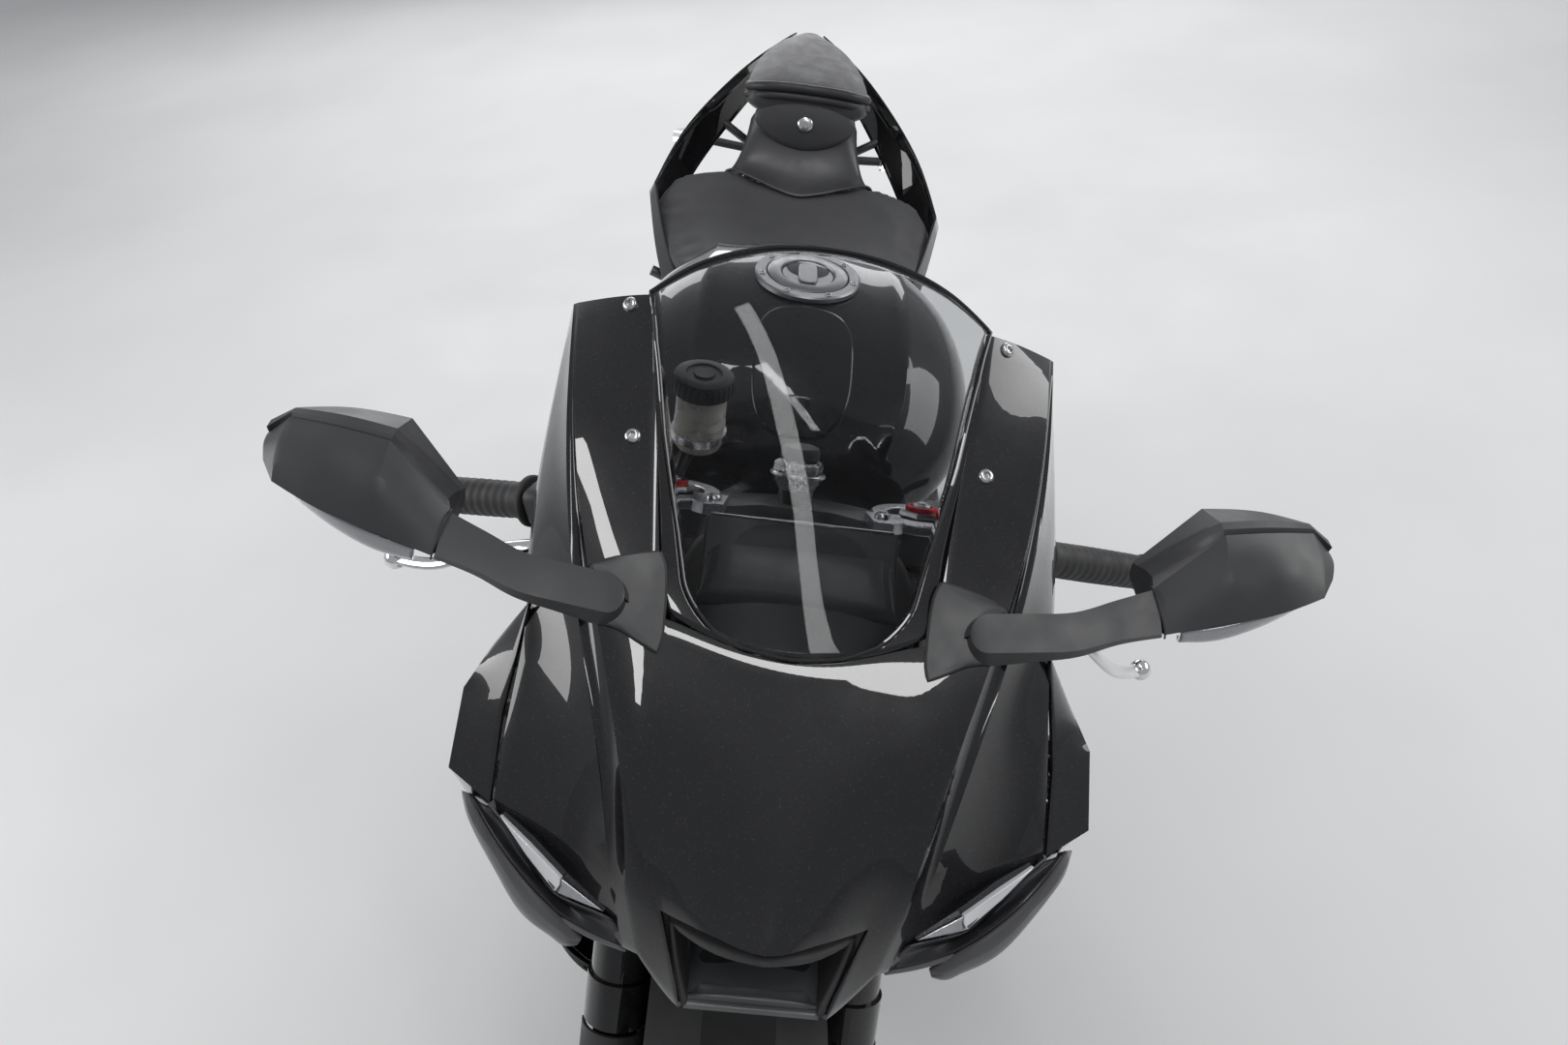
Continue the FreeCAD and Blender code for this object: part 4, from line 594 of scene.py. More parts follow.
def cowl_slats():
    """Louvres behind the opening of each side cowl, and the screws that hold the cowls."""
    slats, screws = Form(), Form()
    for t in (0.12, 0.37, 0.62, 0.87):
        a = Vector((543, 238, 768)).lerp(Vector((523, 236, 712)), t)
        b = Vector((387, 241, 718)).lerp(Vector((367, 239, 652)), t)
        depth = Vector((-4, -12, -7))
        slats.prism([a, b, b + depth, a + depth], (1.2, 0.6, -2.4))
    slats.mirrored().piece("cowl_slats", "matte_black", bevel=0.6)
    for place, axis in (((470, 240.5, 770), (0, 1, 0.2)), ((300, 249, 668), (0, 1, 0)), ((246, 234, 560), (0, 1, 0)),
                        ((150, 203, 370), (0, 1, -0.1)), ((400, 226, 520), (0.2, 1, 0))):
        screws.bolt(place, axis, 7, 3.6)
    screws.mirrored().piece("cowl_screws", "steel")


def belly_pan():
    """Pan under the engine, from one side cowl round to the other."""
    rows = BELLY_ROWS + [flipped(r) for r in BELLY_ROWS[-2::-1]]
    dense = faired(surface(rows, STEPS, STEPS, breaks_across=(1,)), held_columns=(STEPS,))
    Form().grid(dense).piece("belly_shell", "gloss_black", ("belly_pan",), wall=PANEL, inside=(150, 0, 500),
                             bevel=EDGE)


# Tank, seats and tail
def tank_half(half_width, top, shoulder, base, crown_half):
    """Left half profile of the tank as (y, z) points, from the middle of the top down to the base."""
    return [
        (0, top), (crown_half * 0.5, top - 2), (crown_half, top - 10),
        (crown_half * 0.3 + half_width * 0.7, top * 0.6 + shoulder * 0.4), (half_width, shoulder),
        (half_width * 0.98, (shoulder + base) / 2), (half_width * 0.8, base),
    ]


TANK_STATIONS = [
    (296, 112, 930, 880, 862, 76), (250, 152, 984, 915, 850, 104), (104, 168, 1018, 936, 840, 90),
    (10, 160, 1010, 915, 820, 98), (-90, 122, 950, 870, 800, 76), (-160, 98, 888, 840, 790, 60),
    (-186, 90, 868, 832, 790, 54),
]


def loop_at(x, half):
    """Closed ring of points at x from the left half's (y, z) points."""
    ring = [(x, y, z) for y, z in half]
    return ring + [(x, -y, z) for y, z in half[:0:-1]]


def fuel_tank():
    """Tank, with a shoulder line on each side. Returns its form."""
    rings = [loop_at(x, tank_half(*sizes)) for x, *sizes in TANK_STATIONS]
    dense = faired(surface(rings, 6, STEPS, breaks_across=(2, 11), closed=True), held_columns=(12, 66), closed=True)
    form = Form().grid(dense, closed=True, capped=True)
    form.piece("tank_shell", "gloss_black", ("fuel_tank",), bevel=3.0)
    return form


def seat_half(half_width, top, peak, edge, base):
    """Left half profile of the rider's seat, lower in the middle than at its peaks."""
    return [
        (0, top), (half_width * 0.28, (top * 2 + peak) / 3), (half_width * 0.56, peak),
        (half_width * 0.85, (peak + edge) / 2 + 3), (half_width, edge),
        (half_width * 0.98, edge - 10), (half_width * 0.9, base),
    ]


def pillion_half(half_width, top, edge, base):
    """Left half profile of the pillion pad."""
    return [
        (0, top), (half_width * 0.4, top - 1), (half_width * 0.8, top - 8),
        (half_width * 0.97, (top + edge) / 2 - 3), (half_width, edge),
        (half_width * 0.96, (edge + base) / 2), (half_width * 0.9, base),
    ]


RIDER_STATIONS = [
    (-187, 100, 866, 864, 850, 806), (-240, 142, 856, 860, 850, 806), (-320, 170, 860, 870, 858, 816),
    (-385, 182, 880, 894, 876, 836), (-418, 172, 897, 913, 886, 856),
]
PILLION_STATIONS = [
    (-462, 74, 1014, 1000, 986), (-478, 82, 1022, 1002, 982), (-560, 80, 1030, 1002, 966),
    (-640, 58, 1036, 1012, 976), (-704, 22, 1030, 1018, 996),
]


def settle(obj):
    """Applies the modifiers."""
    shown = obj.evaluated_get(bpy.context.evaluated_depsgraph_get())
    mesh = bpy.data.meshes.new_from_object(shown)
    obj.modifiers.clear()
    obj.data = mesh


PAD_VOXEL = 0.005
PAD_FRAMES = 20
PAD_RISE = 4 / 1000
UNDERSIDE = -0.3  # normals that point down more than this belong to the held underside
CLOTH = {
    "quality": 5, "mass": 0.3, "tension_stiffness": 25, "compression_stiffness": 25, "shear_stiffness": 15,
    "bending_stiffness": 30, "use_pressure": True, "uniform_pressure_force": 4.0, "vertex_group_mass": "held",
}


def puff(obj):
    """Blows a pad up a little as cloth, with its underside held, and caps how far each point moves."""
    dense = obj.modifiers.new("voxels", "REMESH")
    dense.mode = "VOXEL"
    dense.voxel_size = PAD_VOXEL
    dense.use_smooth_shade = True
    settle(obj)
    up = LEANED @ Vector((0, 0, 1))
    under = [v.index for v in obj.data.vertices if v.normal.dot(up) < UNDERSIDE]
    obj.vertex_groups.new(name="held").add(under, 1.0, "REPLACE")
    start = [v.co.copy() for v in obj.data.vertices]
    cloth = obj.modifiers.new("cloth", "CLOTH").settings
    for key, value in CLOTH.items():
        setattr(cloth, key, value)
    cloth.effector_weights.gravity = 0.0
    for step in range(1, PAD_FRAMES + 1):
        bpy.context.scene.frame_set(step)
    settle(obj)
    for v, place in zip(obj.data.vertices, start):
        moved = v.co - place
        if moved.length > PAD_RISE:
            v.co = place + moved.normalized() * PAD_RISE
    bpy.context.scene.frame_set(1)
    grow = obj.modifiers.new("smooth", "SUBSURF")
    grow.levels = grow.render_levels = 1


def pad(name, node, stations, half):
    """Padded seat: remeshed, blown up a little as cloth, and capped so that it keeps its place."""
    rings = [loop_at(x, half(*sizes)) for x, *sizes in stations]
    form = Form().grid(faired(surface(rings, 4, 5, closed=True), closed=True, rounds=300), closed=True, capped=True)
    obj = form.piece(name, "seat", (node,), corner=180)
    puff(obj)


def seats():
    pad("rider_cushion", "rider_seat", RIDER_STATIONS, seat_half)
    pad("pillion_cushion", "pillion_seat", PILLION_STATIONS, pillion_half)


NECK_ROWS = [
    [(-397, 0, 896), (-401, 30, 901), (-408, 66, 911), (-421, 100, 912), (-424, 106, 902), (-424, 100, 868)],
    [(-424, 0, 903), (-427, 30, 905), (-431, 60, 910), (-436, 88, 912), (-440, 94, 902), (-440, 92, 868)],
    [(-446, 0, 930), (-448, 30, 931), (-451, 56, 934), (-456, 78, 936), (-461, 84, 926), (-462, 86, 872)],
    [(-457, 0, 956), (-459, 30, 956), (-463, 52, 957), (-470, 70, 955), (-477, 77, 945), (-482, 80, 880)],
    [(-463, 0, 986), (-465, 30, 985), (-470, 50, 982), (-480, 68, 976), (-490, 75, 962), (-502, 78, 890)],
]


def tail_neck():
    """Piece between the seats, with the padded bands, the lock's cover and the lock."""
    rows = [both_halves(half) for half in NECK_ROWS]
    edges = (1, 9)
    dense = faired(surface(rows, 6, 6, breaks_across=edges), held_columns=[k * 6 for k in edges])
    Form().grid(dense).piece("tail_neck", "matte_black", ("tail_centre",), finish="satin_dark", wall=2.5,
                             inside=(-520, 0, 880))
    bands = Form()
    for x, z, half, radius in ((0, 0, 0, 6.5), (2, -11.5, 1, 5.5)):
        path = [(-512 + x, -80 - half, 1003 + z), (-482 + x, -79 - half, 1010 + z), (-468 + x, -62, 1017 + z),
                (-462 + x, -30, 1021 + z), (-460 + x, 0, 1022 + z)]
        path += flipped(path[-2::-1])
        bands.tube(curve_through(path, 6), radius, 12)
    bands.piece("seat_bands", "seat", ("pillion_seat",), finish="seat_band")
    count = 56
    rows = []
    for share in (0.15, 0.3, 0.5, 0.7, 0.85, 0.95, 1.0, 1.0):
        ring = []
        for y, h in rounded(70, 37, 1.7, count):
            depth = 11 * math.sqrt(1 - share ** 2 * 0.98) - (14 if len(rows) == 7 else 0)
            ring.append((-463 + depth - h * share * 0.25, y * share, 976 + h * share))
        rows.append(ring)
    fan = [[k, (k + 1) % count, count] for k in range(count)]
    cover = Form().grid(rows[::-1], closed=True).add(rows[0] + [(-451.5, 0, 976)], fan)
    cover.piece("lock_cover", "matte_black", ("tail_centre",), finish="satin_dark", inside=(-520, 0, 960))
    axis = (0.94, 0, 0.34)
    lock = Form().lathe((-452, 0, 977), axis, [(0, 2), (2.6, 2), (3, 4), (8, 4), (9.6, 3), (11, 1.4), (11.6, -3)], 36)
    lock.prism([(-447.6, -0.8, 973.6), (-447.6, 0.8, 973.6), (-450, 0.8, 980.6), (-450, -0.8, 980.6)], (1.2, 0, 0.4))
    lock.piece("seat_lock", "steel")


TAIL_ROWS = [
    [(-160, 118, 820), (-260, 158, 842), (-400, 196, 890), (-480, 168, 935), (-580, 104, 992), (-725, 22, 1022)],
    [(-160, 128, 790), (-260, 168, 816), (-405, 203, 872), (-490, 172, 915), (-590, 106, 972), (-740, 24, 1008)],
    [(-185, 112, 745), (-280, 148, 782), (-415, 172, 842), (-510, 140, 884), (-610, 86, 942), (-745, 22, 990)],
]


def tail_panels():
    """Side panels of the tail, each with a lengthwise edge."""
    dense = surface(TAIL_ROWS, STEPS, 6, breaks_across=(2,), breaks_along=(1,))
    side_pair("tail_panel_", ("tail_sides", "tail_sides"), dense, (-420, 0, 850))


# Mirrors, given for the left side
HOUSING_RINGS = [
    [(600, 256, 1015), (587, 252, 1026), (570, 249, 1032), (546, 256, 1024), (531, 255, 1019), (522, 252, 1015),
     (513, 252, 1011), (514, 252, 1000), (560, 255, 998)],
    [(598, 292, 1027), (582, 294, 1055), (557, 291, 1076), (555, 291, 1074), (553, 290, 1078), (546, 289, 1079),
     (512, 288, 1066), (512, 290, 1004), (562, 292, 1003)],
    [(594, 332, 1040), (574, 330, 1062), (542, 330, 1072), (540, 330, 1070), (538, 330, 1074), (531, 330, 1075),
     (510, 330, 1068), (512, 330, 1008), (556, 330, 1012)],
    [(580, 366, 1048), (554, 369, 1060), (526, 369, 1065), (525, 369, 1063), (523, 369, 1067), (517, 368, 1067),
     (508, 367, 1062), (511, 365, 1020), (550, 366, 1028)],
    [(560, 378, 1050), (546, 382, 1054), (532, 384, 1053), (529, 384, 1051), (530, 385, 1057), (521, 385, 1057),
     (514, 385, 1052), (517, 383, 1036), (540, 381, 1038)],
]
ARM_ACROSS = Vector((0.88, 0.05, -0.47)).normalized()
ARM_AHEAD = Vector((-0.03, -0.95, -0.27)).normalized()
ARM_UP = ARM_AHEAD.cross(ARM_ACROSS).normalized()
ARM_STATIONS = [
    ((586, 252.5, 1024.5), 17.5, 5, 0.5), ((588, 225, 1014), 15.2, 6, 1), ((592, 197, 1003), 14.6, 8, 2),
    ((591, 165, 996), 14.8, 11, 3.5), ((589, 137, 990), 15, 13, 5.5),
]
ARM_FOOT = [
    (550, 104), (557, 100), (572, 97), (588, 96), (600, 96), (608, 98), (604, 110), (599, 125), (597, 141),
    (584, 158), (562, 146), (553, 122),
]


def arm_ring(centre, half, drop, out, turn=0.0):
    """Ring of the arm's section; past its last station a turn up to 90 degrees closes the round end."""
    narrow, ahead = math.cos(turn), math.sin(turn)
    face = centre + ARM_AHEAD * half * 0.87 * ahead
    rim = centre - ARM_UP * drop * 0.55 + ARM_AHEAD * (half * 0.87 + out) * ahead
    low = centre - ARM_UP * (drop + 12) + ARM_AHEAD * half * 0.8 * ahead
    side = ARM_ACROSS * narrow
    return [
        face + side * half, face + ARM_UP * 1.2 * narrow, face - side * half,
        rim - side * (half + out * 0.4), low - side * (half - 2), low + side * (half - 4),
        rim - ARM_UP * drop * 0.45 + side * (half + out),
    ]


def mirror_side(side, name):
    """Mirror with its arm, glass, bezel, seam and lamp lens."""
    turn = (lambda points: points) if side > 0 else flipped
    dense = surface(HOUSING_RINGS, 5, 8, breaks_across=(0, 2, 3, 4, 5, 6, 7), breaks_along=(1, 3), closed=True)
    shell = Form().grid([turn(ring) for ring in dense], closed=True, capped=True)
    rings = [arm_ring(Vector(c), half, drop, out) for c, half, drop, out in ARM_STATIONS]
    end, half, drop, out = ARM_STATIONS[-1]
    rings = surface(rings, 1, 6, closed=True)
    rings += [arm_ring(Vector(end), half, drop, out, math.radians(a)) for a in (15, 30, 45, 60, 75, 85, 90)]
    shell.grid([turn(ring) for ring in rings], closed=True, capped=True)
    shell.piece("mirror_shell_" + name, "matte_black", ("mirrors",), finish="mirror_shell", bevel=0.7, corner=22)
    outline = [(262, 1015), (292, 1058), (335, 1065), (372, 1052), (373, 1042), (350, 1022), (294, 1010)]
    glass = Form().prism(turn([(508.5, y, z) for y, z in outline]), (5, 0, 0))
    glass.piece("mirror_glass_" + name, "mirror", ("mirror_glasses",), bevel=0.6)
    trim = [(509.5, y, z) for y, z in outline]
    frame_line = curve_through(trim, 4, breaks=range(len(trim)), closed=True)
    Form().tube(turn(frame_line + frame_line[:1]), 2.2, 8, capped=False).piece("mirror_bezel_" + name, "rubber")
    seam = [(601.5, 256, 1013), (601, 255.5, 1016), (588, 251.5, 1027.6), (571, 248.5, 1033), (566, 249, 1030)]
    Form().tube(turn(curve_through(seam, 5)), 0.7, 6).piece("mirror_seam_" + name, "rubber")
    lens_rows = [
        [(598, 268, 1017), (597, 294, 1025), (592, 326, 1036), (584, 350, 1043)],
        [(596, 270, 1007), (596, 294, 1012), (589, 325, 1022), (579, 350, 1033)],
        [(586, 272, 1000), (583, 292, 1001), (573, 323, 1010), (562, 347, 1023)],
    ]
    lens = Form().grid([turn(r) for r in surface(lens_rows, 6, 5)])
    lens.piece("mirror_lens_" + name, "clear_lens", finish="lens_grey", wall=4, inside=turn([(560, 310, 1020)])[0])


def mirror_base(ground, side, name):
    """Flared foot between the nose and the mirror's arm, with the gasket round it."""
    line = curve_through([(x, y, 0) for x, y in ARM_FOOT], 4, breaks=(0, 5), closed=True)
    foot, normals = zip(*(ground.below(p.x, p.y * side) for p in line))
    centre = Vector(ARM_STATIONS[-1][0]) - ARM_UP * 15 + Vector((-2, 6, 0))
    neck = []
    for p in line:
        a = math.atan2(p.y - 128, p.x - 582)
        x, y, z = centre.x + 14 * math.cos(a), centre.y + 15 * math.sin(a), centre.z - 5 * math.cos(a)
        neck.append(Vector((x, side * y, z)))
    rows = [[p - n * 2 for p, n in zip(foot, normals)], [p + n * 2.6 for p, n in zip(foot, normals)]]
    for share, height in ((0.12, 0.03), (0.3, 0.12), (0.5, 0.3), (0.7, 0.55), (0.88, 0.82), (1.0, 1.1)):
        ring = []
        for p, n, q in zip(foot, normals, neck):
            low = p + n * 3
            point = low.lerp(q, share)
            point.z = low.z + (q.z - low.z) * height if q.z > low.z else point.z
            point.z = max(point.z, ground.below(point.x, point.y)[0].z + 3 + 2 * share)
            ring.append(point)
        rows.append(ring)
    form = Form().grid(rows, closed=True, capped=True)
    form.piece("mirror_foot_" + name, "matte_black", ("mirrors",), finish="mirror_shell", corner=50)
    lip = [p + n * 0.6 for p, n in zip(foot, normals)]
    Form().tube(lip + lip[:1], 1.9, 8, capped=False).piece("mirror_gasket_" + name, "rubber")


def mirrors(ground):
    for side, name in SIDES:
        mirror_side(side, name)
        mirror_base(ground, side, name)


# Lips, slim lamps and duct under the nose
BLADE_RINGS = [
    [(646, 230, 833), (649, 225, 835), (644, 221, 826), (638, 225, 820)],
    [(672, 218, 835), (672, 209, 831), (663, 208, 818), (661, 215, 815)],
    [(700, 195, 829), (693, 187, 819), (684, 188, 806), (690, 194, 804)],
    [(718, 170, 806), (704, 164, 797), (697, 166, 782), (706, 172, 778)],
    [(719, 151, 783), (707, 147, 778), (700, 148, 764), (709, 153, 760)],
    [(717, 137, 765), (708, 134, 762), (702, 136, 751), (709, 140, 748)],
    [(712, 131, 757), (708, 130, 756), (704, 132, 750), (708, 133, 748)],
]
BAND_ROWS = [
    [(649, 224, 833), (672, 208, 829), (693, 186, 817), (704, 163, 795), (706, 146, 776), (707, 120, 762),
     (708, 97, 752)],
    [(655, 213, 832), (668, 197, 822), (682, 173, 801), (692, 154, 785), (697, 138, 776), (702, 119, 772),
     (707, 101, 766)],
    [(658, 207, 832), (668, 192, 821), (682, 169, 803), (694, 152, 789), (699, 135, 785), (704, 117, 783),
     (706, 108, 780)],
]


def nose_lips():
    """Blades under the lamps, the bands above them with their edges, and the seams of the lamps."""
    blade = Form().grid(surface(BLADE_RINGS, 4, 7, closed=True), closed=True, capped=True).mirrored()
    blade.piece("nose_blades", "matte_black", ("nose_lips",), finish="satin_grey", bevel=EDGE)
    band = Form().grid(surface(BAND_ROWS, 3, 7)).mirrored()
    band.piece("nose_bands", "gloss_black", ("nose_lips",), finish="cast_black", wall=2.5, inside=(600, 60, 900))
    line = curve_through([(706, 146, 774), (708, 120, 759), (709, 97, 750)], 6)
    edge = Form().tube(line, 3.2, 10, flat=0.7).mirrored()
    edge.piece("nose_band_edges", "matte_black", ("nose_lips",), finish="satin_grey")
    line = curve_through([(657, 208, 835), (681, 172, 807), (694.5, 153, 793)], 5)
    Form().tube(line, 0.9, 6).mirrored().piece("lamp_seams", "rubber", finish="satin_grey")


def slim_lamps():
    """Slim lenses between the lips, and the projector lamps under them with their arms."""
    deep = (-14, -6, -8)
    lens = [(664, 199, 831), (677, 176, 818), (690, 150, 800), (693, 150, 795), (696, 153, 791), (681, 177, 811)]
    bright = Form().prism(lens, deep).mirrored()
    bright.piece("slim_lamp_lenses", "clear_lens", ("headlamps",), finish="white_lens", bevel=EDGE)
    dim = Form().prism([(690.5, 149, 799.5), (704, 116, 784), (696.5, 151, 790.5), (693, 149, 795)], deep).mirrored()
    dim.piece("slim_lamp_inners", "alloy", ("headlamps",), bevel=0.6)
    backing = Form().tube([(640, 134, 770), (663, 131, 755)], [26, 25], 28).mirrored()
    backing.piece("lamp_bowls", "matte_black", ("headlamps",), bevel=1.5)
    dome = [(0, 4), (14, 3), (21, 0.8), (23, -1), (23, -3)]
    glass = Form().lathe((664, 130.8, 754.2), (24, -4, -16), dome, 28).mirrored()
    glass.piece("lamp_projectors", "clear_lens", ("headlamps",), finish="display_glass")
    arm = Form().tube([(596, 140, 878), (666, 134, 768)], 6, 8).mirrored()
    arm.piece("lamp_arms", "matte_black", ("headlamps",))


DUCT_RINGS = [
    [(757, 0, 815), (744, 34, 806), (717, 68, 799), (728, 62, 770), (744, 51, 738), (731, 50, 731), (728, 0, 731)],
    [(700, 0, 806), (700, 34, 802), (697, 64, 795), (694, 60, 768), (690, 54, 740), (682, 50, 737), (681, 0, 737)],
    [(640, 0, 815), (640, 34, 812), (640, 62, 805), (640, 58, 778), (640, 54, 752), (640, 48, 748), (640, 0, 748)],
]
DUCT_FLOOR = [(734, 727.5, 50), (731, 732, 50), (724, 733.8, 50), (700, 736.5, 50), (660, 744, 49)]


def nose_duct():
    """Air intake in the nose: its skin, its floor and the floor's round edge."""
    half = surface(DUCT_RINGS, 4, 4, breaks_across=(2, 4, 5))
    shell = Form().grid(half).grid([flipped(r) for r in half])
    shell.piece("duct_shell", "matte_black", ("nose_duct",), wall=2.5, inside=(700, 0, 770))
    plate = Form().grid(surface([[(x, y, z) for y in (-wide, 0, wide)] for x, z, wide in DUCT_FLOOR], 4, 5))
    plate.piece("duct_floor", "matte_black", ("nose_duct",), finish="duct_grey", wall=2.0, inside=(700, 0, 700))
    edge = Form().tube([(735.5, y, 727) for y in range(-50, 51, 10)], 3.6, 14, flat=0.9)
    edge.piece("duct_floor_edge", "matte_black", ("nose_duct",), finish="satin_grey")


# Screen trim
def screen_trim(ground):
    """Screws of the screen."""
    screws = Form()
    for side in (-1, 1):
        for x, y in ((366.5, 152), (471.5, 135)):
            place, normal = ground.below(x, y * side)
            screws.bolt(place, normal, 6.2, 3.4)
    screws.piece("screen_screws", "steel")


# Cockpit. Stations are the x, the height and the half width, and the band's also how far its edge stands up
DASH_STATIONS = [
    (501, 1000, 70), (504, 1004, 74), (512, 1001, 80), (530, 989, 88), (552, 975, 94), (574, 959, 92), (592, 947, 84),
]
DASH_BAND = [
    (527, 988, 64, -3), (529, 997, 60, 1), (534, 994, 60, 2), (548, 984, 62, 2), (558, 975, 66, 1),
    (561, 967, 70, -3),
]


def cockpit():
    """Instrument panel: display, hood, the ridge across it, body and clips."""
    display = Form().prism([(499, -70, 1004), (499, 70, 1004), (503.5, 66, 966), (503.5, -66, 966)], (3, 0, 0.4))
    display.piece("display_glass", "matte_black", ("instrument_panel",), finish="display_glass", bevel=1.2)
    rows = [both_halves([(x, 0, z + 1), (x, wide - 9, z), (x, wide - 3, z - 3), (x, wide, z - 16)])
            for x, z, wide in DASH_STATIONS]
    cover = Form().grid(faired(surface(rows, 3, 4)))
    cover.piece("dash_cover", "matte_black", ("instrument_panel",), wall=2.5, inside=(530, 0, 900))
    rows = [both_halves([(x, 0, z + edge + 1), (x, wide, z + edge), (x, wide + 8, z - 5)])
            for x, z, wide, edge in DASH_BAND]
    band = Form().grid(surface(rows, 5, 4, breaks_across=(1, 3), breaks_along=(1, 4)))
    band.piece("dash_band", "matte_black", finish="satin_dark", wall=2.0, inside=(530, 0, 900))
    profile = ((506, 960), (500.5, 1004), (528, 988), (552, 974), (552, 957), (530, 948))
    body = Form().prism([(x, -74, z) for x, z in profile], (0, 148, 0))
    body.piece("dash_body", "matte_black", ("instrument_panel",), bevel=2.5)
    clips = Form()
    for y in (-60, -20, 22, 58):
        clips.prism([(508, y - 7, 946), (526, y - 7, 946), (526, y + 7, 946), (508, y + 7, 946)], (0, 0, 10))
    clips.piece("dash_clips", "matte_black", finish="rubber", bevel=1.0)


CABLE_ROUTES = [
    (4.2, [(428, -168, 884), (458, -136, 905), (460, -84, 936), (456, -30, 955), (456, 30, 957), (460, 84, 938),
           (458, 136, 905), (428, 168, 884)]),
    (3.4, [(420, -160, 892), (450, -128, 915), (456, -70, 946), (450, -10, 963), (450, 40, 960), (458, 80, 930),
           (456, 88, 880)]),
    (4.5, [(372, -100, 985), (410, -116, 968), (452, -104, 950), (456, -60, 930), (458, -30, 890)]),
]
COIL_TURN = 12  # points in one turn of the wrap round a cable


def cables():
    """Cables along the bars with their clips, and a short one in a spiral wrap."""
    form = Form()
    for radius, points in CABLE_ROUTES:
        form.tube(curve_through(points, 8), radius, 10)
    for place in ((459, -84, 938), (456, 30, 956), (459, 84, 938)):
        form.lathe(place, (0.2, 1, 0), [(4.6, -5), (8.6, -5), (8.6, 5), (4.6, 5)], 16, closed=True)
    form.piece("bar_cables", "rubber", body="steering")
    line = curve_through([(458, 84, 938), (464, 92, 905), (462, 96, 868)], 12)
    coil = []
    for k in range((len(line) - 1) * 6):
        start, end = line[k // 6], line[k // 6 + 1]
        ahead = (end - start).normalized()
        side = ahead.cross(Vector((0, 1, 0))).normalized()
        a = k * 2 * math.pi / COIL_TURN
        coil.append(start.lerp(end, k / 6 - k // 6) + (side * math.cos(a) + ahead.cross(side) * math.sin(a)) * 6.6)
    Form().tube(line, 6.2, 12).tube(coil, 1.5, 6).piece("wrapped_cable", "rubber", body="steering")


def yoke_fittings():
    """Clamps, fork adjusters and stem nut on top of the upper yoke."""
    up, ahead = STEER_UP, STEER_AHEAD
    clamps, bolts, rings, knobs = Form(), Form(), Form(), Form()
    clamp = [(28, 0), (41, 0), (42, 1.5), (42, 8), (40.5, 9.5), (28.5, 9.5), (28, 9)]
    corners = [(-17, -14), (19, -10), (22, 6), (14, 15), (-16, 15)]
    for side in (-1, 1):
        centre = Vector((fork_x(YOKE_TOP), side * FORK_SPACING, YOKE_TOP))
        clamps.lathe(centre, up, clamp, 48, closed=True)
        ear = centre + ahead * 26 + Vector((0, -side * 34, 0))
        clamps.prism([ear + ahead * a + Vector((0, b * side, 0)) for a, b in corners], up * 9.5)
        bolts.bolt(centre + ahead * 30 + Vector((0, -side * 36, 0)) + up * 9.5, up, 6.5, 4.5)
        top = Vector((fork_x(ADJUSTER_FOOT), side * FORK_SPACING, ADJUSTER_FOOT))
        rings.lathe(top, up, [(9, 0), (13, 0), (13.5, 1), (13.5, 3.4), (12.6, 4.2), (9, 4.2)], 32, closed=True)
        knobs.lathe(top, up, [(0, 7), (4, 7), (4.4, 5.4), (6.8, 5.4), (7.6, 4.6), (8, 0)], 24)
        knobs.lathe(top, up, [(14, 0.2), (18.5, 0.2), (19.2, -0.6), (19.4, -4)], 6)
    clamps.piece("fork_clamps", "alloy", body="steering", bevel=1.2)
    bolts.piece("clamp_bolts", "steel", body="steering")
    rings.piece("fork_adjusters", "red_lens", finish="red_metal", body="steering")
    knobs.piece("fork_adjuster_knobs", "alloy", body="steering")
    foot = Vector((steering_x(NUT_FOOT), 0, NUT_FOOT))
    nut = Form().hexagon(foot, up, 22, 11).lathe(foot, up, [(16, -14), (22.5, -3), (24, -2), (24, 0), (22.5, 1)], 36)
    nut.piece("stem_nut", "steel", ("steering_stem",), body="steering", bevel=0.6)
    cap = Form().lathe(foot, up, [(0, 24), (12, 24), (15.5, 22.5), (17, 19), (17, 13), (14.5, 11), (13, 9)], 32)
    cap.piece("stem_cap", "rubber", body="steering")
    tube = [(9.6, 28), (14, 28), (15, 27), (15, -205), (9.6, -205)]
    stem = Form().lathe((steering_x(STEM_MIDDLE), 0, STEM_MIDDLE), up, tube, 32, closed=True)
    stem.piece("stem_tube", "cast_black", ("steering_stem",), body="steering")
    tip = Form().lathe(Vector((436, 100, 946)) + up * 4, up, [(0, 5), (3.6, 5), (4, 4), (4, 0)], 16)
    tip.piece("adjuster_tip", "red_lens", finish="orange_plastic", body="steering")


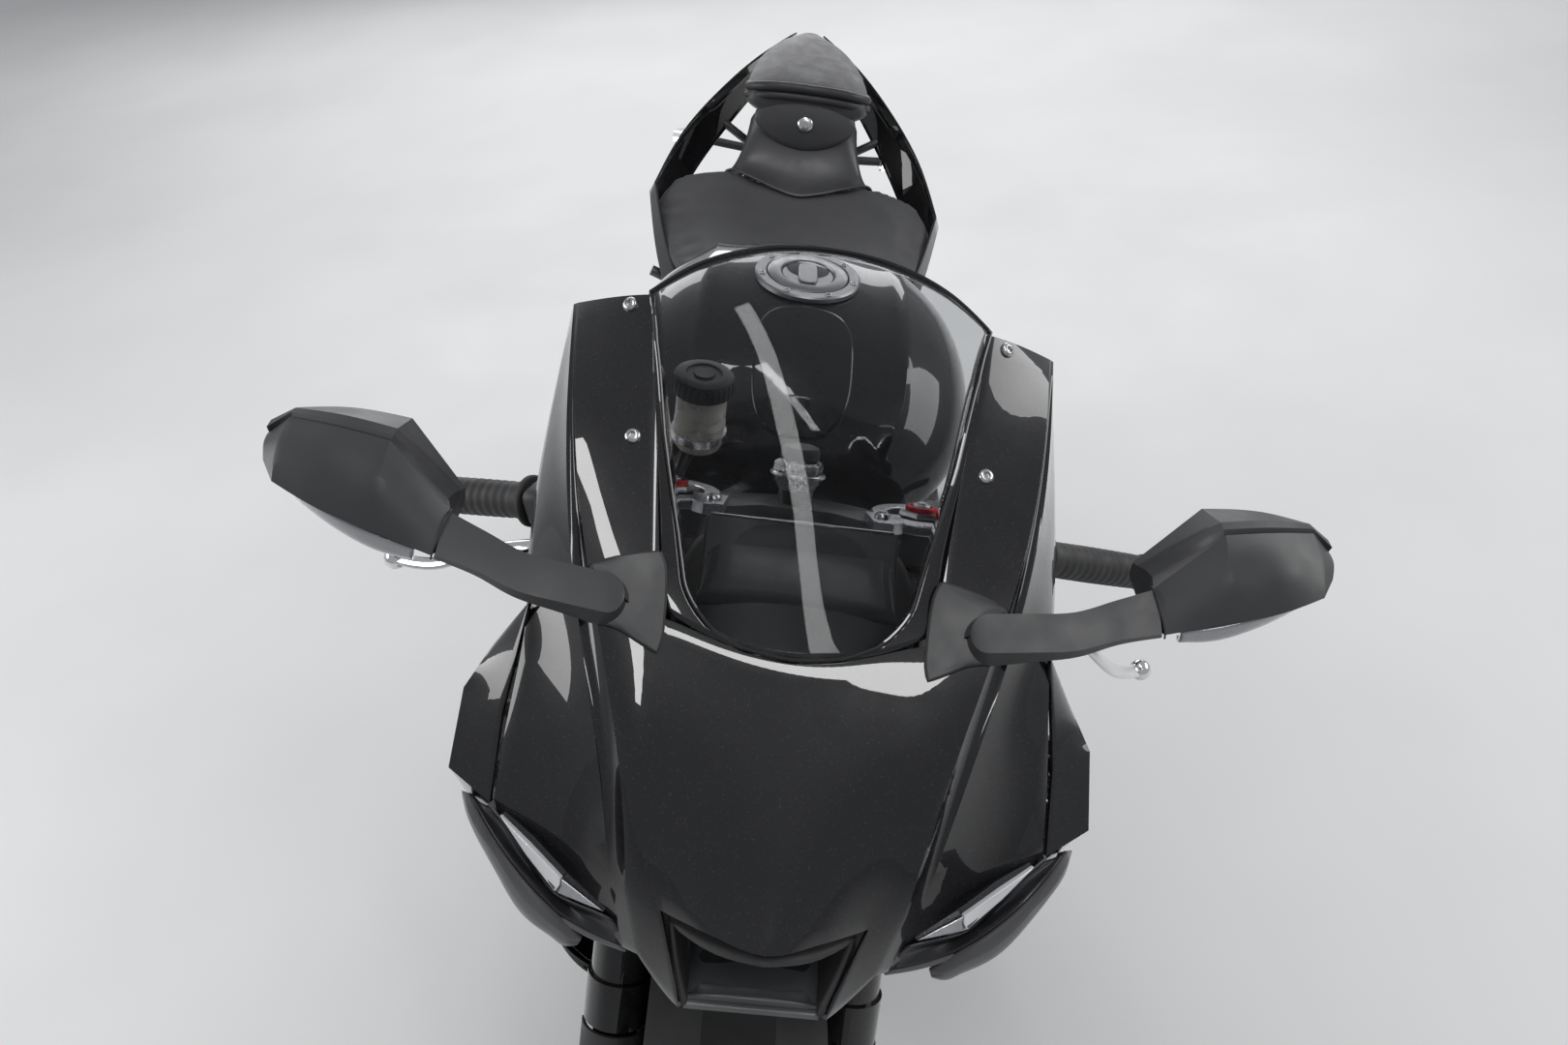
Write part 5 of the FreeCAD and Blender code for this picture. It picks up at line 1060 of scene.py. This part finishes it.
def reservoir():
    """Brake fluid bottle with its ribbed lid, stay and band."""
    x, y, axis = BOTTLE_X, BOTTLE_Y, (0, 0, 1)
    cup = [(0, 0), (15, 0), (19.5, 2), (21, 6), (21, 22), (21.6, 23), (21.6, 26), (21, 27), (21, 53), (0, 53)]
    Form().lathe((x, y, 980), axis, cup, 40).piece("reservoir_cup", "clear_lens", ("brake_reservoir",),
                                                   finish="bottle", body="steering")
    lid = Form().lathe((x, y, 1033), axis, [
        (21.4, 0), (24.4, 0.5), (25, 2), (25, 13), (24, 15.5), (21, 17), (15, 17.2), (14.4, 16.2), (9, 16.2),
        (8.5, 17.4), (0, 17.6),
    ], 48)
    for a in turns(30):
        c, s = math.cos(a), math.sin(a)
        lid.tube([(x + 24.4 * c, y + 24.4 * s, z) for z in (1035, 1047)], 1.3, 6)
    lid.piece("reservoir_lid", "rubber", ("brake_reservoir",), body="steering")
    stay = Form().tube([(408, -108, 936), (398, -104, 955), (384, -96, 974), (376, -90, 981)], 5.5, 10)
    stay.lathe((x, y, 972), axis, [(0, 0), (7, 0), (8, 3), (8, 9), (0, 9)], 20)
    stay.piece("reservoir_stay", "cast_black", ("brake_reservoir",), body="steering")
    band = Form().lathe((x, y, 990), axis, [(21, 0), (23.2, 0), (23.2, 7), (21, 7)], 40, closed=True)
    band.piece("reservoir_band", "steel", body="steering")


GRIP_ROOT = Vector((376, 224, 903))
GRIP_END = Vector((317, 350, 854))


GRIP_STEPS = 64
GRIP_RADIUS, GRIP_SWELL, GRIP_RIDGE = 15.4, 0.7, 0.8
SWITCH_BOX = [(-0.135, 15, 15), (-0.12, 19, 18), (-0.06, 20, 19), (-0.025, 19, 18), (-0.01, 16, 15)]


def on_grip(share, side=1):
    """Point on a grip's middle line, from its inner end at 0 to its outer end at 1."""
    p = GRIP_ROOT.lerp(GRIP_END, share)
    return Vector((p.x, p.y * side, p.z))


def bars():
    """Grips, bar weights and switch boxes."""
    grips, weights, boxes = Form(), Form(), Form()
    for side in (-1, 1):
        path, radii = [], []
        for k in range(GRIP_STEPS + 1):
            share = k / GRIP_STEPS
            path.append(on_grip(0.03 + share * 0.96, side))
            swell = GRIP_RADIUS + GRIP_SWELL * math.sin(share * math.pi)
            ridge = GRIP_RIDGE if k % 4 in (1, 2) else 0.0
            radii.append(swell + (ridge if 0.08 < share < 0.9 else 0.6))
        grips.tube(path, radii, 28)
        axis = (on_grip(1, side) - on_grip(0, side)).normalized()
        grips.lathe(on_grip(0.0, side), axis, [(11.2, 0), (21.5, 0), (23, 1.2), (23, 4), (21.5, 5.4), (16, 6)], 36)
        grips.lathe(on_grip(0.95, side), axis, [(15, 0), (17.6, 1), (18, 3), (17.4, 6.5), (11.2, 7)], 36)
        weights.lathe(on_grip(1.02, side), axis, [
            (11, 0), (14.6, 0.6), (15, 2), (15, 13), (13.6, 15.4), (6, 15.6), (5, 13), (0, 13),
        ], 36)
        across = axis.cross(Vector((0, 0, 1))).normalized()
        up = across.cross(axis).normalized()
        up = -up if up.z < 0 else up
        across = -across if across.x < 0 else across
        rings = []
        for share, wide, high in SWITCH_BOX:
            middle = on_grip(share, side)
            rings.append([middle + across * a + up * b for a, b in rounded(wide, high, 4, 20)])
        boxes.grid(rings, closed=True, capped=True)
    grips.piece("grip_sleeves", "rubber", ("grips",), body="steering")
    weights.piece("bar_weights", "cast_black", body="steering")
    boxes.piece("switch_boxes", "matte_black", body="steering", bevel=1.0)


LEVER_RADIUS, LEVER_TAPER = 8.5, 2.2
# Pivot, bend, middle and tip of the left lever and of the right one, both given on the left
LEVERS = [
    (1, (436, 207, 889), (448, 236, 885), (440, 296, 838), (402, 342, 806)),
    (-1, (440, 207, 906), (448, 236, 905), (440, 290, 876), (412, 338, 852)),
]


def lever_pieces():
    """Lever blades with a ball at the tip, and the perches that hold them."""
    metal, perches = Form(), Form()
    base = on_grip(-0.14)
    for side, *spots in LEVERS:
        pivot, bend, middle, tip = (Vector(p) for p in spots)
        line = curve_through([pivot, bend, (bend + middle) / 2 + Vector((3, 0, 5)), middle, tip], 8)
        radii = [LEVER_RADIUS - LEVER_TAPER * k / (len(line) - 1) for k in range(len(line))]
        ball = [(0, -10), (5, -8.7), (8.7, -5), (10, 0), (8.7, 5), (5, 8.7), (0, 10)]
        metal.join(Form().tube(line, radii, 14, flat=0.55).lathe(tip, tip - middle, ball, 24), side)
        perch = Form().tube([base, base.lerp(pivot, 0.5), pivot], [14, 12, 10.5], 14, flat=0.8)
        screw = [(0, 1.5), (4, 1.5), (4.4, 3.4), (7, 3.2), (7.4, 0), (7.4, -16), (0, -16)]
        perches.join(perch.lathe(pivot + Vector((0, 0, 7)), (0, 0, 1), screw, 20), side)
    metal.piece("lever_blades", "steel", ("levers",), finish="polished", body="steering")
    perches.piece("lever_perches", "cast_black", ("levers",), body="steering")


# Tank details
def tank_trim(ground):
    """Raised cover in front of the filler, which follows the tank under it and has a rounded edge."""
    x, rise, rings = 226, 3.6, 16
    levels = [(k / rings, rise) for k in range(1, rings)] + [(0.975, rise), (0.995, rise * 0.7), (1.0, -1.0)]
    outline = rounded(62, 47, 3.2, 72)
    rows = []
    for share, up in levels:
        spots = [ground.below(x + a * share, b * share) for a, b in outline]
        rows.append([place + normal * up for place, normal in spots])
    middle, normal = ground.below(x, 0)
    count = len(outline)
    fan = [[0, k + 1, (k + 1) % count + 1] for k in range(count)]
    Form().grid(rows, closed=True).add([middle + normal * rise] + rows[0], fan).piece(
        "tank_cover", "gloss_black", ("fuel_tank",), corner=60)


def filler():
    """Ring of the filler with its bolts, and the cap with its flap."""
    x, z, up = FILLER_X, FILLER_Z, (0, 0, 1)
    ring = Form().lathe((x, 0, z), up, [(41.5, -4), (41.5, 1.6), (42.4, 2.6), (51.4, 2.6), (53, 1), (53, -3)], 72)
    ring.piece("filler_rim", "steel", ("filler_ring",), finish="cap_metal")
    bolts = Form()
    for a in turns(7, 0.5):
        bolts.bolt((x + 47 * math.cos(a), 47 * math.sin(a), z + 2.4), up, 3.4, 1.6)
    bolts.piece("filler_bolts", "steel")
    cap = Form().lathe((x, 0, z), up, [(27, 1.2), (28, 3.4), (38.6, 3.4), (40.4, 2.2), (40.8, -2)], 72)
    cap.lathe((x, 0, z), up, [(0, 1.6), (25.4, 1.6), (26.6, 0.6), (27, 1.2)], 72)
    cap.piece("cap_plate", "steel", ("fuel_cap",), finish="cap_metal", body="cap")
    flap = Form().prism([(x + a, b, z + 1) for a, b in rounded(20, 9.5, 5, 40)], (0, 0, 2.6))
    flap.piece("cap_flap", "steel", ("fuel_cap",), finish="cap_metal", body="cap", bevel=0.9)


# Wheels
GROOVE_FROM, GROOVE_TO = 0.16, 0.86  # shares of the tread's half width
GROOVE_SLANT, GROOVE_TAPER = 0.85, 0.5


def tyre(name, body, node, centre, section, groove, count):
    """Tyre with moulded grooves. The section holds (y, radius) points from the tread's middle to the bead."""
    half = curve_through([(y, 0, r) for y, r in section], 5, breaks=(len(section) - 3,))
    side = [(p.x, p.z) for p in half]
    profile = [(-y, r) for y, r in side[:0:-1]] + side
    tread = section[-3][0]
    rows = []
    for a in turns(TREAD_STEPS):
        ring = []
        for y, r in profile:
            share = abs(y) / tread
            slant = (a * count / (2 * math.pi) + GROOVE_SLANT * share + (0.5 if y > 0 else 0)) % 1.0
            spread = abs(slant - 0.5) * 2 * math.pi * r / count
            if GROOVE_FROM < share < GROOVE_TO and spread < groove * (1.1 - share * GROOVE_TAPER):
                r -= TREAD_DEPTH
            ring.append(Vector((centre[0] + r * math.cos(a), y, centre[1] + r * math.sin(a))))
        rows.append(ring)
    Form().grid(rows + rows[:1]).piece(name, "tyre", (node,), body=body, corner=32)


def wheels():
    """Both tyres: a round crown with its grooves, then the sidewall down to the bead."""
    for end, x, z, radius, crown, wall, groove, count in (
        ("front", FRONT_X, FRONT_Z, FRONT_RADIUS, FRONT_CROWN, [(59, 248), (56, 232), (50, 218)], 2.6, 22),
        ("rear", REAR_X, REAR_Z, REAR_RADIUS, REAR_CROWN, [(94, 244), (88, 230), (80, 218)], 3.2, 18),
    ):
        angles = [math.radians(a) for a in (0, 14, 28, 42, 56, 68)]
        tread = [(crown * math.sin(a), radius - crown + crown * math.cos(a)) for a in angles]
        tyre(end + "_tread", end + "_wheel", end + "_tyre", (x, z), tread + wall, groove, count)


# Camera, light and floor. The camera was fitted to the photo, and its directions are those of the upright bike
CAMERA_PLACE = (1276.07, -71.53, 1576.70)
CAMERA_RIGHT = (-0.01899947, 0.99206636, 0.1242713)
CAMERA_DOWN = (0.59673543, 0.11097983, -0.79472656)
CAMERA_AHEAD = (-0.8022131, 0.0590577, -0.5941097)
FOCAL_PIXELS, PHOTO_WIDTH, SENSOR = 1314.96, 1620, 36.0
WORLD_COLOUR, WORLD_STRENGTH = (0.80, 0.82, 0.85, 1), 0.48
LAMP_TARGET = Vector((0.2, 0, 0.6))
LAMPS = [  # place, width and depth in metres, and power
    ((1.1, 0.42, 3.2), (0.2, 2.6), 22), ((0.2, -3.0, 2.0), (2.6, 1.0), 42), ((-0.4, 3.1, 2.1), (2.6, 1.2), 38),
    ((-5.4, 0.0, 2.4), (6.0, 1.6), 120),
]
FLOOR_HALF = 12.0


def add_camera():
    right, down, ahead = (LEANED @ Vector(way) for way in (CAMERA_RIGHT, CAMERA_DOWN, CAMERA_AHEAD))
    data = bpy.data.cameras.new("camera")
    data.sensor_width = SENSOR
    data.lens = SENSOR * FOCAL_PIXELS / PHOTO_WIDTH
    camera = bpy.data.objects.new("camera", data)
    bpy.context.scene.collection.objects.link(camera)
    turn = Matrix((right, -down, -ahead)).transposed().to_4x4()
    camera.matrix_world = Matrix.Translation(row(CAMERA_PLACE)) @ turn
    bpy.context.scene.camera = camera


def add_light():
    """Pale surroundings and four softboxes."""
    world = bpy.data.worlds.new("studio")
    bpy.context.scene.world = world
    world.use_nodes = True
    back = world.node_tree.nodes["Background"]
    back.inputs["Color"].default_value = WORLD_COLOUR
    back.inputs["Strength"].default_value = WORLD_STRENGTH
    for place, (width, depth), power in LAMPS:
        lamp = bpy.data.lights.new("softbox", "AREA")
        lamp.shape = "RECTANGLE"
        lamp.size, lamp.size_y = width, depth
        lamp.energy = power
        obj = bpy.data.objects.new("softbox", lamp)
        obj.location = place
        obj.visible_camera = False
        obj.rotation_euler = (LAMP_TARGET - Vector(place)).to_track_quat("-Z", "Y").to_euler()
        bpy.context.scene.collection.objects.link(obj)


def add_floor():
    mesh = bpy.data.meshes.new("floor")
    s = FLOOR_HALF
    mesh.from_pydata([(-s, -s, 0), (s, -s, 0), (s, s, 0), (-s, s, 0)], [], [(0, 1, 2, 3)])
    mesh.materials.append(make_finish("floor", (0.74, 0.74, 0.74), 0.55, 0.05, 0.03, patch=1.2))
    floor = bpy.data.objects.new("floor", mesh)
    bpy.context.scene.collection.objects.link(floor)


finish_nodes()
nose_ground = nose_cowl()
windscreen()
side_cowls()
cowl_slats()
belly_pan()
tank_ground = Ground(fuel_tank())
seats()
tail_panels()
tail_neck()
mirrors(nose_ground)
nose_lips()
slim_lamps()
nose_duct()
screen_trim(nose_ground)
cockpit()
cables()
yoke_fittings()
reservoir()
bars()
lever_pieces()
tank_trim(tank_ground)
filler()
wheels()
add_camera()
add_light()
add_floor()
bpy.context.scene.view_settings.view_transform = "Standard"
